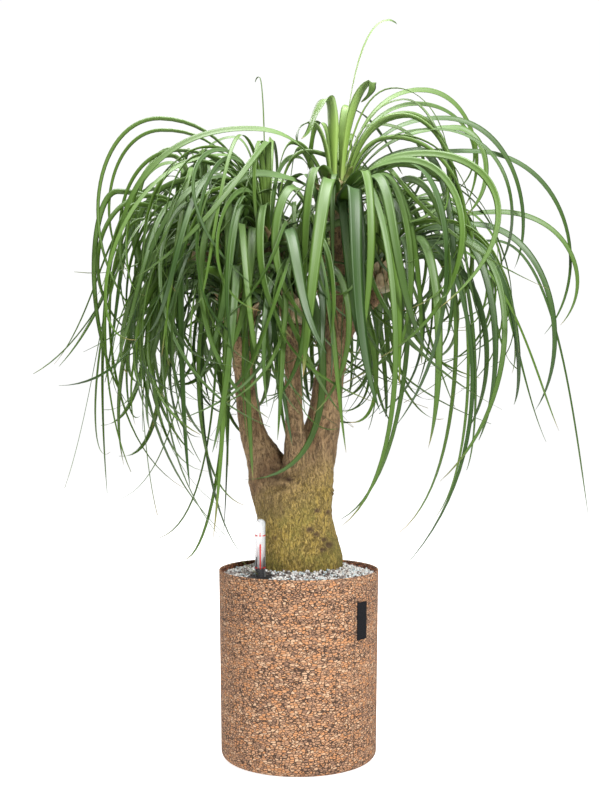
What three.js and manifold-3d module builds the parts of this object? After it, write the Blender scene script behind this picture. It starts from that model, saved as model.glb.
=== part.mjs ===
// Potted ponytail palm: a many-headed trunk with arching ribbon leaves, in a round
// cork-faced planter with a black liner, mineral granules and a water gauge.
// Millimetres, +Z up. Origin: middle of the planter's underside. The front faces -Y.
import * as THREE from 'three';
import Module from 'manifold-3d';
import { mergeVertices } from 'three/addons/utils/BufferGeometryUtils.js';

const wasm = await Module();
wasm.setup();
const { Manifold } = wasm;

// ---------- Driving dimensions ----------

const GAP = 0.3;                  // clearance between neighbouring pieces
const ROUND_SIDES = 40;           // sides of the planter, its liner and the granules

const PLANTER_HEIGHT = 397;
const PLANTER_TOP_RADIUS = 170;
const PLANTER_BASE_RADIUS = 165;
const PLANTER_WALL = 4;
const PLANTER_FLOOR = 6;
const PLANTER_BOTTOM_ROUND = 14;
const PLANTER_RIM_ROUND = 1.5;

const TAG_WIDTH = 31;
const TAG_HEIGHT = 77;
const TAG_THICKNESS = 1.2;
const TAG_CENTRE_HEIGHT = 306;
const TAG_BEARING = 49.7;         // degrees from the front towards +X

const LINER_TOP = 385;
const LINER_WALL = 3;
const LINER_FLOOR = 4;
const LINER_TOP_RADIUS = 157;
const LINER_BASE_RADIUS = 146;
const LINER_LIP_HEIGHT = 3;

const GRANULES_EDGE_HEIGHT = 385; // top of the granules at the liner
const GRANULES_HEAP = 17;         // how much higher they lie against the trunk
const GRANULES_RIPPLE = 1.6;
const GRANULES_RINGS = 5;

const GAUGE_X = -79;
const GAUGE_Y = -98;
const GAUGE_SIDES = 20;
const SHAFT_OUTER_RADIUS = 15;
const SHAFT_BORE_RADIUS = 12.5;
const SHAFT_FOOT_HEIGHT = 40;     // the slotted stretch that lets water in
const SHAFT_SLOTS = 4;
const SHAFT_SLOT_WIDTH = 5;
const PLATE_RADIUS = 27;
const PLATE_UNDERSIDE = 388;
const PLATE_THICKNESS = 5.5;
const COLLAR_RADIUS = 9;
const COLLAR_BORE_RADIUS = 6;
const COLLAR_TOP = 410;
const COLLAR_TONGUE_TOP = 434;
const COLLAR_TONGUE_WIDTH = 8;
const TUBE_OUTER_RADIUS = 10.8;
const TUBE_WALL = 1.4;
const TUBE_TOP = 512.9;
const FLOAT_RADIUS = 12.2;
const FLOAT_LENGTH = 60;
const FLOAT_UNDERSIDE = 66;       // with the water at the level in the photo
const ROD_RADIUS = 1.8;
const ROD_TOP = 460.5;

const HEART_RISE = 45;            // a head's leaves spring from this far above its limb
const LEAF_KEEL = 0.11;           // depth of a blade's keel, as a share of its width
const LEAF_LEAST_KEEL = 1.3;
const CLEAR_CELL = 4;             // no two leaves pass through one cell of this size
const CLEAR_REACH = 648.3;        // half the width of the space that is kept tidy
const CLEAR_TOP = 1612;
const LEAF_LOWEST = 412;
const ROOT_BUNDLE = 75;           // leaves of one head may touch this close to its heart
const GAUGE_BERTH = 14;           // leaves keep this far from the gauge's middle line
const MOST_TRIES = 150;           // before a leaf that crosses others is left out
const BLADE_STATIONS = [0, 0.45, 0.85, 1.2, 1.5, 1.77, 2];
const SHAPED_HOOK = 0.66;         // how far down its arch a shaped leaf's belly lies
const SHAPED_SWAY = 0.15;         // how far its belly leans to the side of its tip
const TAPER_ONSET = 5;            // the higher, the nearer its tip a leaf narrows
const TAPER_SHAPE = 0.75;
const UPRIGHT_RISE = 300;         // a crest this high above the heart is a young leaf's
const ROOT_LOWEST = -30;          // root of a hanging leaf, from the heart
const ROOT_HIGHEST = 28;          // root of a young leaf
const ROOT_NEAREST = 6;           // from the heart's middle
const GROWN_REACH = 60;           // crest of the youngest leaf, and what age adds
const GROWN_REACH_MORE = 230;
const GROWN_RISE = 20;            // crest of the oldest leaf, and what youth adds
const GROWN_RISE_MORE = 205;
const GROWN_BELLY = 80;           // belly beyond the crest, and what age adds
const GROWN_BELLY_MORE = 420;
const GROWN_SIDE_SPREAD = 600;
const GROWN_YOUNG_DROP = -110;
const GROWN_WIDTH = 10;
const GROWN_WIDTH_MORE = 8;
const GROWN_TWIST_SPREAD = 170;
const YOUNGEST_GROWN = 0.12;      // age of the youngest leaf grown by rule
const GOLDEN_ANGLE = 137.508;
const HEART_RADIUS = 30;
const HEART_SHOULDER = 45;        // height up to which a heart keeps its full radius
const HEART_HEIGHT = 92;

// Trunk and limbs: [x, y, z, radius] along each, thick end first.
const TRUNK_SIDES = 10;
const TRUNK_FOOT_RADIUS = 89;
const TRUNK_FOOT_BOTTOM = 300;
const TRUNK_FOOT_SPARE = 5;       // room in the granules for the swelling above the foot
const LIMB_OVERRUN = 16;          // past its end, before it is cut level under its head
const LEVEL_CUT_HEIGHT = 30;
const LIMBS = {
  base: [[3, 0, 394, 89], [2, 0, 410, 92], [-2, 0, 440, 89], [-8, 0, 485, 82],
    [-12, 0, 530, 77], [-18, 0, 575, 72], [-22, 0, 612, 54]],
  left: [[-30, 4, 500, 56], [-58, 4, 590, 50], [-76, 3, 635, 37], [-91, 2, 668, 30],
    [-102, 1, 706, 26], [-110, 1, 752, 24], [-115, 2, 808, 22], [-118, 0, 870, 20], [-115, -2, 925, 20]],
  leftFront: [[-117, -2, 895, 20], [-98, -22, 975, 20], [-65, -40, 1045, 22]],
  leftOuter: [[-117, 0, 895, 20], [-148, 10, 965, 20], [-207, 30, 1045, 22]],
  leftLow: [[-118, 0, 800, 16], [-124, -34, 850, 17], [-124, -72, 900, 19]],
  middle: [[-2, -24, 540, 42], [-6, -38, 624, 28], [-9, -50, 700, 20],
    [-11, -58, 765, 19], [-11, -65, 840, 18], [-8, -72, 915, 20]],
  right: [[6, 6, 500, 60], [18, 6, 590, 58], [36, 6, 645, 46], [50, 6, 700, 37],
    [60, 6, 760, 33], [66, 6, 808, 31], [82, 4, 870, 27], [90, 2, 930, 24], [94, 0, 985, 23]],
  rightFront: [[94, -2, 960, 23], [95, -16, 1010, 22], [90, -40, 1070, 22], [82, -60, 1130, 22]],
  rightOuter: [[86, 4, 890, 24], [120, 18, 940, 21], [170, 40, 990, 21]],
  back: [[80, 10, 880, 23], [72, 66, 945, 21], [60, 150, 1015, 22]],
  stub: [[100, 0, 915, 17], [112, -5, 935, 15], [122, -8, 949, 12]],
};

// Heads: where each limb ends, how many leaves are grown by rule besides the shaped
// ones, how far those reach and hang, and the bearing of the first.
const HEADS = {
  main: { at: [82, -60, 1130], grown: 58, reach: 1.0, hang: 390, bearing: 15 },
  left_front: { at: [-65, -40, 1045], grown: 54, reach: 0.92, hang: 420, bearing: 80 },
  left_outer: { at: [-207, 30, 1045], grown: 32, reach: 0.72, hang: 450, bearing: 140 },
  right: { at: [170, 40, 990], grown: 42, reach: 0.95, hang: 340, bearing: 200 },
  back: { at: [60, 150, 1015], grown: 42, reach: 1.0, hang: 380, bearing: 260 },
  centre: { at: [-8, -72, 915], grown: 30, reach: 0.66, hang: 240, bearing: 320 },
  left_low: { at: [-124, -72, 900], grown: 32, reach: 0.7, hang: 300, bearing: 20 },
};

// Room that the grown leaves leave free, in front of the trunk's fork and below the
// crown: lowest and highest corner.
const CLEARINGS = [
  [[-135, -440, 412], [95, -62, 700]],
  [[95, -640, 412], [640, 640, 690]],
  [[-640, -640, 412], [-135, 640, 560]],
  [[-640, -640, 1345], [130, 640, 1612]],
  [[30, -640, 1215], [130, -90, 1345]],
  [[-110, -640, 700], [215, -255, 1320]],
];

// Shaped leaves, as seen in the photo: bearing of the arch in degrees from +X towards
// +Y, reach and rise of its crest, reach of its belly, reach, side step and drop of its
// tip, width, twist in degrees, and its own sway and hook if it has them. Lengths run
// from the heart of the head.
const SHAPED_LEAVES = {
  main: [
    [8, 108, 380, 122, 126, 0, -372, 6, 60],
    [-80, 145, 0, 215, 245, 30, 440, 32, -15, -0.8],
    [-100, 100, 25, 220, 225, -35, 375, 28, -10, 0.7],
    [-120, 80, 55, 150, 175, 20, 225, 26, 10],
    [-85, 50, 50, 110, 120, -15, 190, 13, 0],
    [-30, 100, 35, 195, 205, -35, 345, 22, 20],
    [-14, 165, 95, 260, 230, -35, 295, 18, 60],
    [-52, 115, -40, 200, 220, -30, 390, 24, 0],
    [-140, 28, 208, 62, 100, 0, -112, 32, 0],
    [-150, 67, 164, 100, 89, 0, -105, 22, 0],
    [-40, 88, 230, 92, 60, 0, -195, 26, 0],
    [150, 45, 168, 66, 72, 0, -70, 24, 0],
    [50, 34, 203, 190, 240, 0, -90, 20, 30],
    [18, 200, 245, 355, 300, 25, 0, 14, 75],
    [28, 220, 225, 390, 325, 25, -55, 13, 70],
    [10, 235, 180, 440, 390, 10, 135, 14, 75],
    [-3, 265, 150, 350, 275, -40, 40, 16, 70],
    [11, 300, 115, 580, 470, 15, 275, 13, 75],
    [-90, 125, 35, 200, 170, -20, 300, 20, 0, 0.2],
    [-66, 130, 30, 230, 200, 75, 350, 22, 35, -0.4],
    [-112, 135, 5, 235, 215, 70, 330, 20, -30, -0.5],
    [-42, 120, 40, 235, 190, -70, 330, 20, 15, -0.6],
    [-70, 130, 10, 270, 223, -90, 650, 14, 20, -0.9, 0.8],
    [-85, 60, -10, 115, 100, 30, 300, 20, 0],
    [-62, 70, -15, 135, 110, -20, 340, 20, 10],
    [-32, 80, -5, 160, 140, 10, 320, 18, 0],
    [-48, 95, 10, 160, 130, 40, 380, 18, 0],
  ],
  left_front: [
    [150, 22, 350, 30, 32, 0, -340, 5, 0],
    [-175, 225, 255, 415, 245, 0, 185, 9, 75],
    [170, 235, 245, 390, 310, -15, 60, 8, 75],
    [-82, 140, 10, 255, 280, 45, 240, 26, 10, -0.6],
    [-102, 105, 15, 190, 170, -45, 250, 22, -10, -0.5],
    [-120, 25, 190, 70, 85, -25, 45, 20, 0],
    [-126, 100, 120, 195, 195, -10, 275, 20, 20],
    [-58, 95, 150, 170, 195, -20, 195, 18, 0],
    [161, 120, 180, 265, 250, 5, 180, 14, 60],
    [-92, 110, 60, 210, 190, 60, 215, 20, 20, -0.5],
    [-72, 120, 30, 230, 215, -60, 290, 20, 25, -0.4],
    [-112, 120, 60, 225, 190, -70, 300, 19, -20, -0.5],
    [-140, 130, 80, 230, 235, 15, 260, 20, 30],
    [-170, 150, 165, 290, 230, 20, 150, 11, 50],
    [174, 190, 200, 340, 300, -20, 60, 9, 60],
    [-158, 130, 130, 250, 260, 20, 240, 12, 40],
    [-146, 150, 165, 270, 230, 30, 180, 10, 40],
    [-165, 175, 105, 310, 280, -30, 260, 12, 30],
    [158, 150, 145, 290, 260, 20, 160, 11, 50],
  ],
  left_outer: [
    [176, 150, 60, 235, 325, 10, 255, 6, 40],
    [-160, 120, 90, 225, 300, 20, 515, 7, 30],
    [-170, 180, 115, 265, 165, 15, 335, 13, 75],
    [-144, 155, 75, 270, 190, 30, 480, 13, 60],
    [-119, 160, 75, 265, 235, 50, 560, 14, 40],
    [-98, 160, 95, 245, 270, 35, 500, 18, 10],
    [150, 80, 140, 180, 150, -30, 170, 10, 50],
    [-76, 155, 85, 240, 275, -5, 520, 16, 10],
    [-120, 150, 30, 240, 120, 190, 640, 13, 20, -0.5],
  ],
  right: [
    [4, 260, 70, 440, 478, 15, 535, 9, 60],
    [0, 265, 130, 480, 400, 20, 115, 13, 75],
    [-17, 200, 95, 425, 335, 35, 300, 16, 60],
    [-39, 160, 85, 330, 250, 5, 360, 18, 40],
    [-65, 145, 60, 280, 240, -25, 375, 22, 10],
    [-60, 140, 55, 300, 226, -128, 582, 14, 10, -0.62],
    [-43, 205, 50, 400, 230, -85, 440, 14, 50],
    [-50, 130, 60, 235, 115, -80, 600, 14, 20, -0.4, 0.8],
  ],
  back: [
    [60, 190, 250, 360, 260, 30, 120, 15, 20],
    [100, 200, 210, 350, 290, -40, 260, 17, 0],
    [140, 190, 230, 370, 270, 30, 160, 15, 20],
    [80, 150, 100, 300, 240, 20, 430, 20, 0],
    [120, 150, 90, 280, 210, -30, 430, 20, 0],
  ],
  centre: [
    [-97, 80, 75, 170, 185, -10, 280, 15, 0],
    [-69, 85, 75, 185, 205, 25, 300, 15, 0],
    [-130, 80, 60, 185, 180, 35, 290, 13, 20],
    [-85, 95, 60, 180, 150, -60, 200, 16, 20, -0.6],
    [-110, 85, 70, 175, 120, 60, 235, 15, 20, -0.6],
    [-60, 90, 70, 180, 130, -70, 240, 15, 30, -0.6],
    [-65, 60, 20, 115, 45, -130, 362, 18, 20, -0.7, 1],
  ],
  left_low: [
    [-140, 110, 90, 250, 230, 60, 330, 15, 30],
    [-95, 90, 80, 190, 170, -50, 300, 18, 0],
    [-60, 70, 60, 160, 120, 60, 280, 16, 0],
    [180, 120, 70, 270, 250, -70, 330, 14, 50],
    [-130, 100, 80, 220, 84, 99, 499, 12, 20, -0.6],
    [-80, 50, 15, 90, 70, 20, 352, 16, 10, 0.4],
    [-105, 55, 20, 85, 70, 0, 322, 14, 0, 0.3],
    [-125, 90, 30, 150, 60, 60, 400, 13, 10, -0.5, 0.9],
  ],
};

// ---------- Small helpers ----------

const radians = degrees => degrees * Math.PI / 180;
const lerp = (a, b, t) => a + (b - a) * t;
const clamp = (value, low, high) => Math.min(high, Math.max(low, value));
const vec = ([x, y, z]) => new THREE.Vector3(x, y, z);

function solidFromTriangles(points, triangles) {
  return new Manifold(new wasm.Mesh({
    numProp: 3,
    vertProperties: new Float32Array(points.flat()),
    triVerts: new Uint32Array(triangles.flat()),
  }));
}

function solidFromGeometry(geometry) {
  geometry.deleteAttribute('normal');
  geometry.deleteAttribute('uv');
  const welded = mergeVertices(geometry, 1e-4);
  return new Manifold(new wasm.Mesh({
    numProp: 3,
    vertProperties: new Float32Array(welded.attributes.position.array),
    triVerts: new Uint32Array(welded.index.array),
  }));
}

function geometryFromSolid(solid) {
  const mesh = solid.getMesh();
  const geometry = new THREE.BufferGeometry();
  const places = new Float32Array(mesh.numVert * 3);
  for (let i = 0; i < mesh.numVert; i += 1) {
    for (let k = 0; k < 3; k += 1) {
      places[3 * i + k] = mesh.vertProperties[i * mesh.numProp + k];
    }
  }
  geometry.setAttribute('position', new THREE.BufferAttribute(places, 3));
  geometry.setIndex(new THREE.BufferAttribute(new Uint32Array(mesh.triVerts), 1));
  geometry.computeVertexNormals();
  return geometry;
}

// A solid of revolution about +Z from [radius, height] points.
function turned(profile, sides) {
  const outline = profile.map(([radius, height]) => new THREE.Vector2(radius, height));
  const geometry = new THREE.LatheGeometry(outline, sides);
  geometry.rotateX(Math.PI / 2);
  return solidFromGeometry(geometry);
}

function arcPoints(centreRadius, centreHeight, radius, fromDegrees, toDegrees, steps) {
  return Array.from({ length: steps + 1 }, (_, i) => {
    const angle = radians(lerp(fromDegrees, toDegrees, i / steps));
    return [centreRadius + radius * Math.cos(angle), centreHeight + radius * Math.sin(angle)];
  });
}

const group = new THREE.Group();

function addPiece(name, solid, colour, roughness, more = {}) {
  const material = new THREE.MeshStandardMaterial({ color: colour, roughness, ...more });
  const mesh = new THREE.Mesh(geometryFromSolid(solid), material);
  mesh.name = name;
  group.add(mesh);
}

// ---------- Planter, its tag and its liner ----------

const planterRadiusAt = height => lerp(
  PLANTER_BASE_RADIUS, PLANTER_TOP_RADIUS, height / PLANTER_HEIGHT);

function planterShell() {
  const round = PLANTER_BOTTOM_ROUND;
  const lip = PLANTER_RIM_ROUND;
  const innerTop = PLANTER_TOP_RADIUS - PLANTER_WALL;
  const innerBase = PLANTER_BASE_RADIUS - PLANTER_WALL;
  return turned([
    [0, 0],
    ...arcPoints(PLANTER_BASE_RADIUS - round, round, round, -90, 0, 4),
    [PLANTER_TOP_RADIUS, PLANTER_HEIGHT - lip],
    [PLANTER_TOP_RADIUS - lip, PLANTER_HEIGHT],
    [innerTop + lip, PLANTER_HEIGHT],
    [innerTop, PLANTER_HEIGHT - lip],
    [innerBase, PLANTER_FLOOR],
    [0, PLANTER_FLOOR],
  ], ROUND_SIDES);
}

// A thin plate bent round the planter.
function labelTag() {
  const columns = 4;
  const middle = radians(TAG_BEARING - 90);
  const inner = planterRadiusAt(TAG_CENTRE_HEIGHT) + 2 * GAP;
  const halfTurn = TAG_WIDTH / 2 / inner;
  const slope = (PLANTER_TOP_RADIUS - PLANTER_BASE_RADIUS) / PLANTER_HEIGHT;
  const points = [];
  const triangles = [];
  for (let i = 0; i <= columns; i += 1) {
    const angle = middle + lerp(-halfTurn, halfTurn, i / columns);
    for (const [out, up] of [[0, -1], [TAG_THICKNESS, -1], [TAG_THICKNESS, 1], [0, 1]]) {
      const rise = up * TAG_HEIGHT / 2;
      const radius = inner + out + slope * rise;
      points.push([radius * Math.cos(angle), radius * Math.sin(angle), TAG_CENTRE_HEIGHT + rise]);
    }
  }
  for (let i = 0; i < columns; i += 1) {
    for (let k = 0; k < 4; k += 1) {
      const a = 4 * i + k;
      const b = 4 * i + (k + 1) % 4;
      triangles.push([a, b + 4, b], [a, a + 4, b + 4]);
    }
  }
  const last = 4 * columns;
  triangles.push([0, 1, 2], [0, 2, 3]);
  triangles.push([last, last + 2, last + 1], [last, last + 3, last + 2]);
  return solidFromTriangles(points, triangles);
}

function insertLiner() {
  const bottom = PLANTER_FLOOR + GAP;
  const lipRadius = planterRadiusAt(LINER_TOP) - PLANTER_WALL - GAP - 0.2;
  return turned([
    [0, bottom],
    [LINER_BASE_RADIUS, bottom],
    [LINER_TOP_RADIUS, LINER_TOP - LINER_LIP_HEIGHT],
    [lipRadius, LINER_TOP - LINER_LIP_HEIGHT],
    [lipRadius, LINER_TOP],
    [LINER_TOP_RADIUS - LINER_WALL, LINER_TOP],
    [LINER_BASE_RADIUS - LINER_WALL, bottom + LINER_FLOOR],
    [0, bottom + LINER_FLOOR],
  ], ROUND_SIDES);
}

const linerBottomInside = PLANTER_FLOOR + GAP + LINER_FLOOR;

// ---------- Granules ----------

function granulesTop(x, y) {
  const radius = Math.hypot(x, y);
  const heap = GRANULES_HEAP * clamp((150 - radius) / 55, 0, 1);
  const ripple = Math.sin(x * 0.19 + 1.3) * Math.cos(y * 0.23 - 0.4)
    + 0.7 * Math.sin((x + y) * 0.31);
  return GRANULES_EDGE_HEIGHT + heap + GRANULES_RIPPLE * ripple;
}

function substrate() {
  const bottom = linerBottomInside + GAP;
  const topRadius = LINER_TOP_RADIUS - LINER_WALL - GAP;
  const baseRadius = LINER_BASE_RADIUS - LINER_WALL - GAP;
  const points = [[0, 0, bottom], [0, 0, granulesTop(0, 0)]];
  const triangles = [];
  const ringStart = ring => 2 + ring * ROUND_SIDES;
  const radii = [baseRadius];
  for (let ring = 0; ring < GRANULES_RINGS; ring += 1) {
    radii.push(topRadius * (1 - ring / GRANULES_RINGS));
  }
  radii.forEach((radius, ring) => {
    for (let i = 0; i < ROUND_SIDES; i += 1) {
      const angle = 2 * Math.PI * i / ROUND_SIDES;
      const x = radius * Math.sin(angle);
      const y = -radius * Math.cos(angle);
      const edge = ring <= 1;
      const height = edge ? GRANULES_EDGE_HEIGHT - 2 : granulesTop(x, y);
      points.push([x, y, ring === 0 ? bottom : height]);
    }
  });
  for (let i = 0; i < ROUND_SIDES; i += 1) {
    const j = (i + 1) % ROUND_SIDES;
    triangles.push([0, ringStart(0) + j, ringStart(0) + i]);
    for (let ring = 0; ring < radii.length - 1; ring += 1) {
      const low = ringStart(ring);
      const high = ringStart(ring + 1);
      triangles.push([low + i, low + j, high + j], [low + i, high + j, high + i]);
    }
    const inner = ringStart(radii.length - 1);
    triangles.push([1, inner + i, inner + j]);
  }
  const holeRadius = TRUNK_FOOT_RADIUS + TRUNK_FOOT_SPARE;
  const trunkHole = Manifold.cylinder(PLANTER_HEIGHT, holeRadius, holeRadius, TRUNK_SIDES * 2)
    .translate([LIMBS.base[0][0], 0, TRUNK_FOOT_BOTTOM - GAP]);
  const shaftHole = Manifold.cylinder(
    PLANTER_HEIGHT, SHAFT_OUTER_RADIUS + GAP, SHAFT_OUTER_RADIUS + GAP, GAUGE_SIDES)
    .translate([GAUGE_X, GAUGE_Y, 0]);
  const plateSeat = Manifold.cylinder(
    PLANTER_HEIGHT, PLATE_RADIUS + GAP, PLATE_RADIUS + GAP, GAUGE_SIDES)
    .translate([GAUGE_X, GAUGE_Y, PLATE_UNDERSIDE - GAP]);
  return solidFromTriangles(points, triangles)
    .subtract(trunkHole).subtract(shaftHole).subtract(plateSeat);
}

// ---------- Water gauge ----------

const atGauge = solid => solid.translate([GAUGE_X, GAUGE_Y, 0]);

function drum(radius, bottom, top) {
  return Manifold.cylinder(top - bottom, radius, radius, GAUGE_SIDES).translate([0, 0, bottom]);
}

function gaugeShaft() {
  const bottom = linerBottomInside + GAP;
  const plateTop = PLATE_UNDERSIDE + PLATE_THICKNESS;
  const tongues = Manifold.cube([2 * COLLAR_RADIUS, COLLAR_TONGUE_WIDTH, COLLAR_TONGUE_TOP - plateTop])
    .translate([-COLLAR_RADIUS, -COLLAR_TONGUE_WIDTH / 2, plateTop])
    .intersect(drum(COLLAR_RADIUS, plateTop, COLLAR_TONGUE_TOP));
  const outside = drum(SHAFT_OUTER_RADIUS, bottom, PLATE_UNDERSIDE + 1)
    .add(drum(PLATE_RADIUS, PLATE_UNDERSIDE, plateTop))
    .add(drum(COLLAR_RADIUS, plateTop - 1, COLLAR_TOP))
    .add(tongues);
  let shaft = outside
    .subtract(drum(SHAFT_BORE_RADIUS, bottom + 2, PLATE_UNDERSIDE))
    .subtract(drum(COLLAR_BORE_RADIUS, PLATE_UNDERSIDE - 1, COLLAR_TONGUE_TOP + 1));
  for (let i = 0; i < SHAFT_SLOTS / 2; i += 1) {
    const slot = Manifold.cube(
      [4 * SHAFT_OUTER_RADIUS, SHAFT_SLOT_WIDTH, SHAFT_FOOT_HEIGHT], true)
      .translate([0, 0, bottom + 5 + SHAFT_FOOT_HEIGHT / 2])
      .rotate([0, 0, 180 * i / (SHAFT_SLOTS / 2)]);
    shaft = shaft.subtract(slot);
  }
  return atGauge(shaft);
}

function gaugeTube() {
  const bottom = PLATE_UNDERSIDE + PLATE_THICKNESS + GAP;
  const inner = TUBE_OUTER_RADIUS - TUBE_WALL;
  const springing = TUBE_TOP - TUBE_OUTER_RADIUS;
  const outside = turned([
    [0, bottom],
    [TUBE_OUTER_RADIUS, bottom],
    ...arcPoints(0, springing, TUBE_OUTER_RADIUS, 0, 72, 4),
    [0, TUBE_TOP],
  ], GAUGE_SIDES);
  const inside = turned([
    [0, bottom - 1],
    [inner, bottom - 1],
    ...arcPoints(0, springing, inner, 0, 72, 4),
    [0, springing + inner],
  ], GAUGE_SIDES);
  return atGauge(outside.subtract(inside));
}

function gaugeFloat() {
  const top = FLOAT_UNDERSIDE + FLOAT_LENGTH;
  return atGauge(turned([
    [0, FLOAT_UNDERSIDE],
    [FLOAT_RADIUS - 2, FLOAT_UNDERSIDE],
    [FLOAT_RADIUS, FLOAT_UNDERSIDE + 2],
    [FLOAT_RADIUS, top - 2],
    [FLOAT_RADIUS - 2, top],
    [ROD_RADIUS, top],
    [ROD_RADIUS, ROD_TOP - 1],
    [ROD_RADIUS - 0.8, ROD_TOP],
    [0, ROD_TOP],
  ], GAUGE_SIDES));
}

// ---------- Trunk ----------

// A limb with round sections square to its run.
function limbSolid(path, sides) {
  const end = vec(path[path.length - 1]);
  const overrun = end.clone().sub(vec(path[path.length - 2])).setLength(LIMB_OVERRUN).add(end);
  const stations = [...path, [...overrun.toArray(), path[path.length - 1][3]]];
  const points = [];
  const triangles = [];
  stations.forEach((station, i) => {
    const before = vec(stations[Math.max(0, i - 1)]);
    const after = vec(stations[Math.min(stations.length - 1, i + 1)]);
    const run = after.sub(before).normalize();
    const across = new THREE.Vector3(0, 1, 0).cross(run).normalize();
    const along = run.clone().cross(across);
    for (let k = 0; k < sides; k += 1) {
      const angle = 2 * Math.PI * k / sides;
      const point = vec(station)
        .addScaledVector(across, station[3] * Math.cos(angle))
        .addScaledVector(along, station[3] * Math.sin(angle));
      points.push(point.toArray());
    }
  });
  for (let i = 0; i < stations.length - 1; i += 1) {
    for (let k = 0; k < sides; k += 1) {
      const a = i * sides + k;
      const b = i * sides + (k + 1) % sides;
      triangles.push([a, b, b + sides], [a, b + sides, a + sides]);
    }
  }
  const last = (stations.length - 1) * sides;
  for (let k = 1; k < sides - 1; k += 1) {
    triangles.push([0, k + 1, k], [last, last + k, last + k + 1]);
  }
  return solidFromTriangles(points, triangles);
}

function trunk() {
  const foot = Manifold.cylinder(
    LIMBS.base[0][2] - TRUNK_FOOT_BOTTOM + 1, TRUNK_FOOT_RADIUS, TRUNK_FOOT_RADIUS, TRUNK_SIDES * 2)
    .translate([LIMBS.base[0][0], 0, TRUNK_FOOT_BOTTOM]);
  const limbs = Object.entries(LIMBS).map(([name, stations]) => (
    limbSolid(stations, name === 'base' ? TRUNK_SIDES * 2 : TRUNK_SIDES)));
  const levelCuts = Object.values(HEADS).map(({ at }) => (
    Manifold.cylinder(LEVEL_CUT_HEIGHT, HEART_RADIUS * 1.3, HEART_RADIUS * 1.3, TRUNK_SIDES)
      .translate(at)));
  return Manifold.union([foot, ...limbs]).subtract(Manifold.union(levelCuts));
}

// ---------- Leaves ----------

// A repeatable stream of draws between 0 and 1.
function draws(seed) {
  let state = (seed * 2654435761) % 4294967296;
  const next = () => {
    state = (state * 1664525 + 1013904223) % 4294967296;
    return state / 4294967296;
  };
  next();
  next();
  return next;
}

function asLeaf([bearing, crestReach, crestRise, belly, tipReach, tipSide, tipDrop, width, twist,
  sway = SHAPED_SWAY, hook = SHAPED_HOOK]) {
  return {
    bearing, crestReach, crestRise, belly, tipReach, tipSide, tipDrop, width, twist, sway, hook,
  };
}

// Leaves that no one leaf of the photo gives: from young and upright (age 0) to old and
// hanging (age 1), each turned on from the last by the golden angle.
function grownLeaf(head, rank, next) {
  const age = lerp(YOUNGEST_GROWN, 1, (rank + 0.5) / head.grown);
  const vary = share => 1 + share * (2 * next() - 1);
  const crestReach = (GROWN_REACH + GROWN_REACH_MORE * age * (1.25 - age)) * vary(0.25);
  const crestRise = (GROWN_RISE + GROWN_RISE_MORE * (1 - age)) * vary(0.2);
  const beyond = GROWN_BELLY + GROWN_BELLY_MORE * age * (1.15 - age);
  const belly = (crestReach + beyond) * vary(0.15);
  return {
    bearing: head.bearing + GOLDEN_ANGLE * rank + 24 * (next() - 0.5),
    crestReach: crestReach * head.reach,
    crestRise,
    belly: belly * head.reach,
    tipReach: belly * head.reach * (0.3 + 0.65 * next()),
    tipSide: GROWN_SIDE_SPREAD * (next() - 0.5),
    tipDrop: lerp(GROWN_YOUNG_DROP, head.hang, Math.pow(age, 0.6)) * vary(0.2),
    width: (GROWN_WIDTH + GROWN_WIDTH_MORE * next()) * (0.8 + 0.35 * age),
    twist: GROWN_TWIST_SPREAD * (next() - 0.5),
    hook: 0.55 + 0.6 * next(),
    sway: 1.5 * (next() - 0.6),
  };
}

// The same leaf pushed aside, further on each new try.
function bentAside(leaf, next, push) {
  const vary = share => 1 + push * share * (2 * next() - 1);
  return {
    ...leaf,
    bearing: leaf.bearing + push * 70 * (next() - 0.5),
    crestReach: leaf.crestReach * vary(0.4),
    crestRise: leaf.crestRise * vary(0.3),
    belly: leaf.belly * vary(0.3),
    tipReach: leaf.tipReach * vary(0.35),
    tipSide: leaf.tipSide + push * 160 * (next() - 0.5),
    tipDrop: leaf.tipDrop * vary(0.3),
  };
}

function curvePoint(a, b, c, d, t) {
  const u = 1 - t;
  return u * u * u * a + 3 * u * u * t * b + 3 * u * t * t * c + t * t * t * d;
}

// A point of the arch as [reach, side, rise] from the heart: u runs from 0 at the root
// to 1 at the crest and 2 at the tip.
function archPoint(leaf, u) {
  const youth = clamp(leaf.crestRise / UPRIGHT_RISE, 0, 1);
  const rootReach = lerp(HEART_RADIUS - ROOT_NEAREST, ROOT_NEAREST, youth);
  const rootRise = lerp(ROOT_LOWEST, ROOT_HIGHEST, youth);
  if (u <= 1) {
    const lift = leaf.crestRise - rootRise;
    return [
      curvePoint(rootReach, rootReach + 0.12 * leaf.crestReach, 0.5 * leaf.crestReach,
        leaf.crestReach, u),
      0,
      curvePoint(rootRise, rootRise + 0.6 * lift, leaf.crestRise, leaf.crestRise, u),
    ];
  }
  const fall = leaf.crestRise + leaf.tipDrop;
  return [
    curvePoint(leaf.crestReach, lerp(leaf.crestReach, leaf.belly, 0.75), leaf.belly,
      leaf.tipReach, u - 1),
    curvePoint(0, 0, leaf.sway * leaf.tipSide, leaf.tipSide, u - 1),
    curvePoint(leaf.crestRise, leaf.crestRise, leaf.crestRise - leaf.hook * fall,
      -leaf.tipDrop, u - 1),
  ];
}

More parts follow.
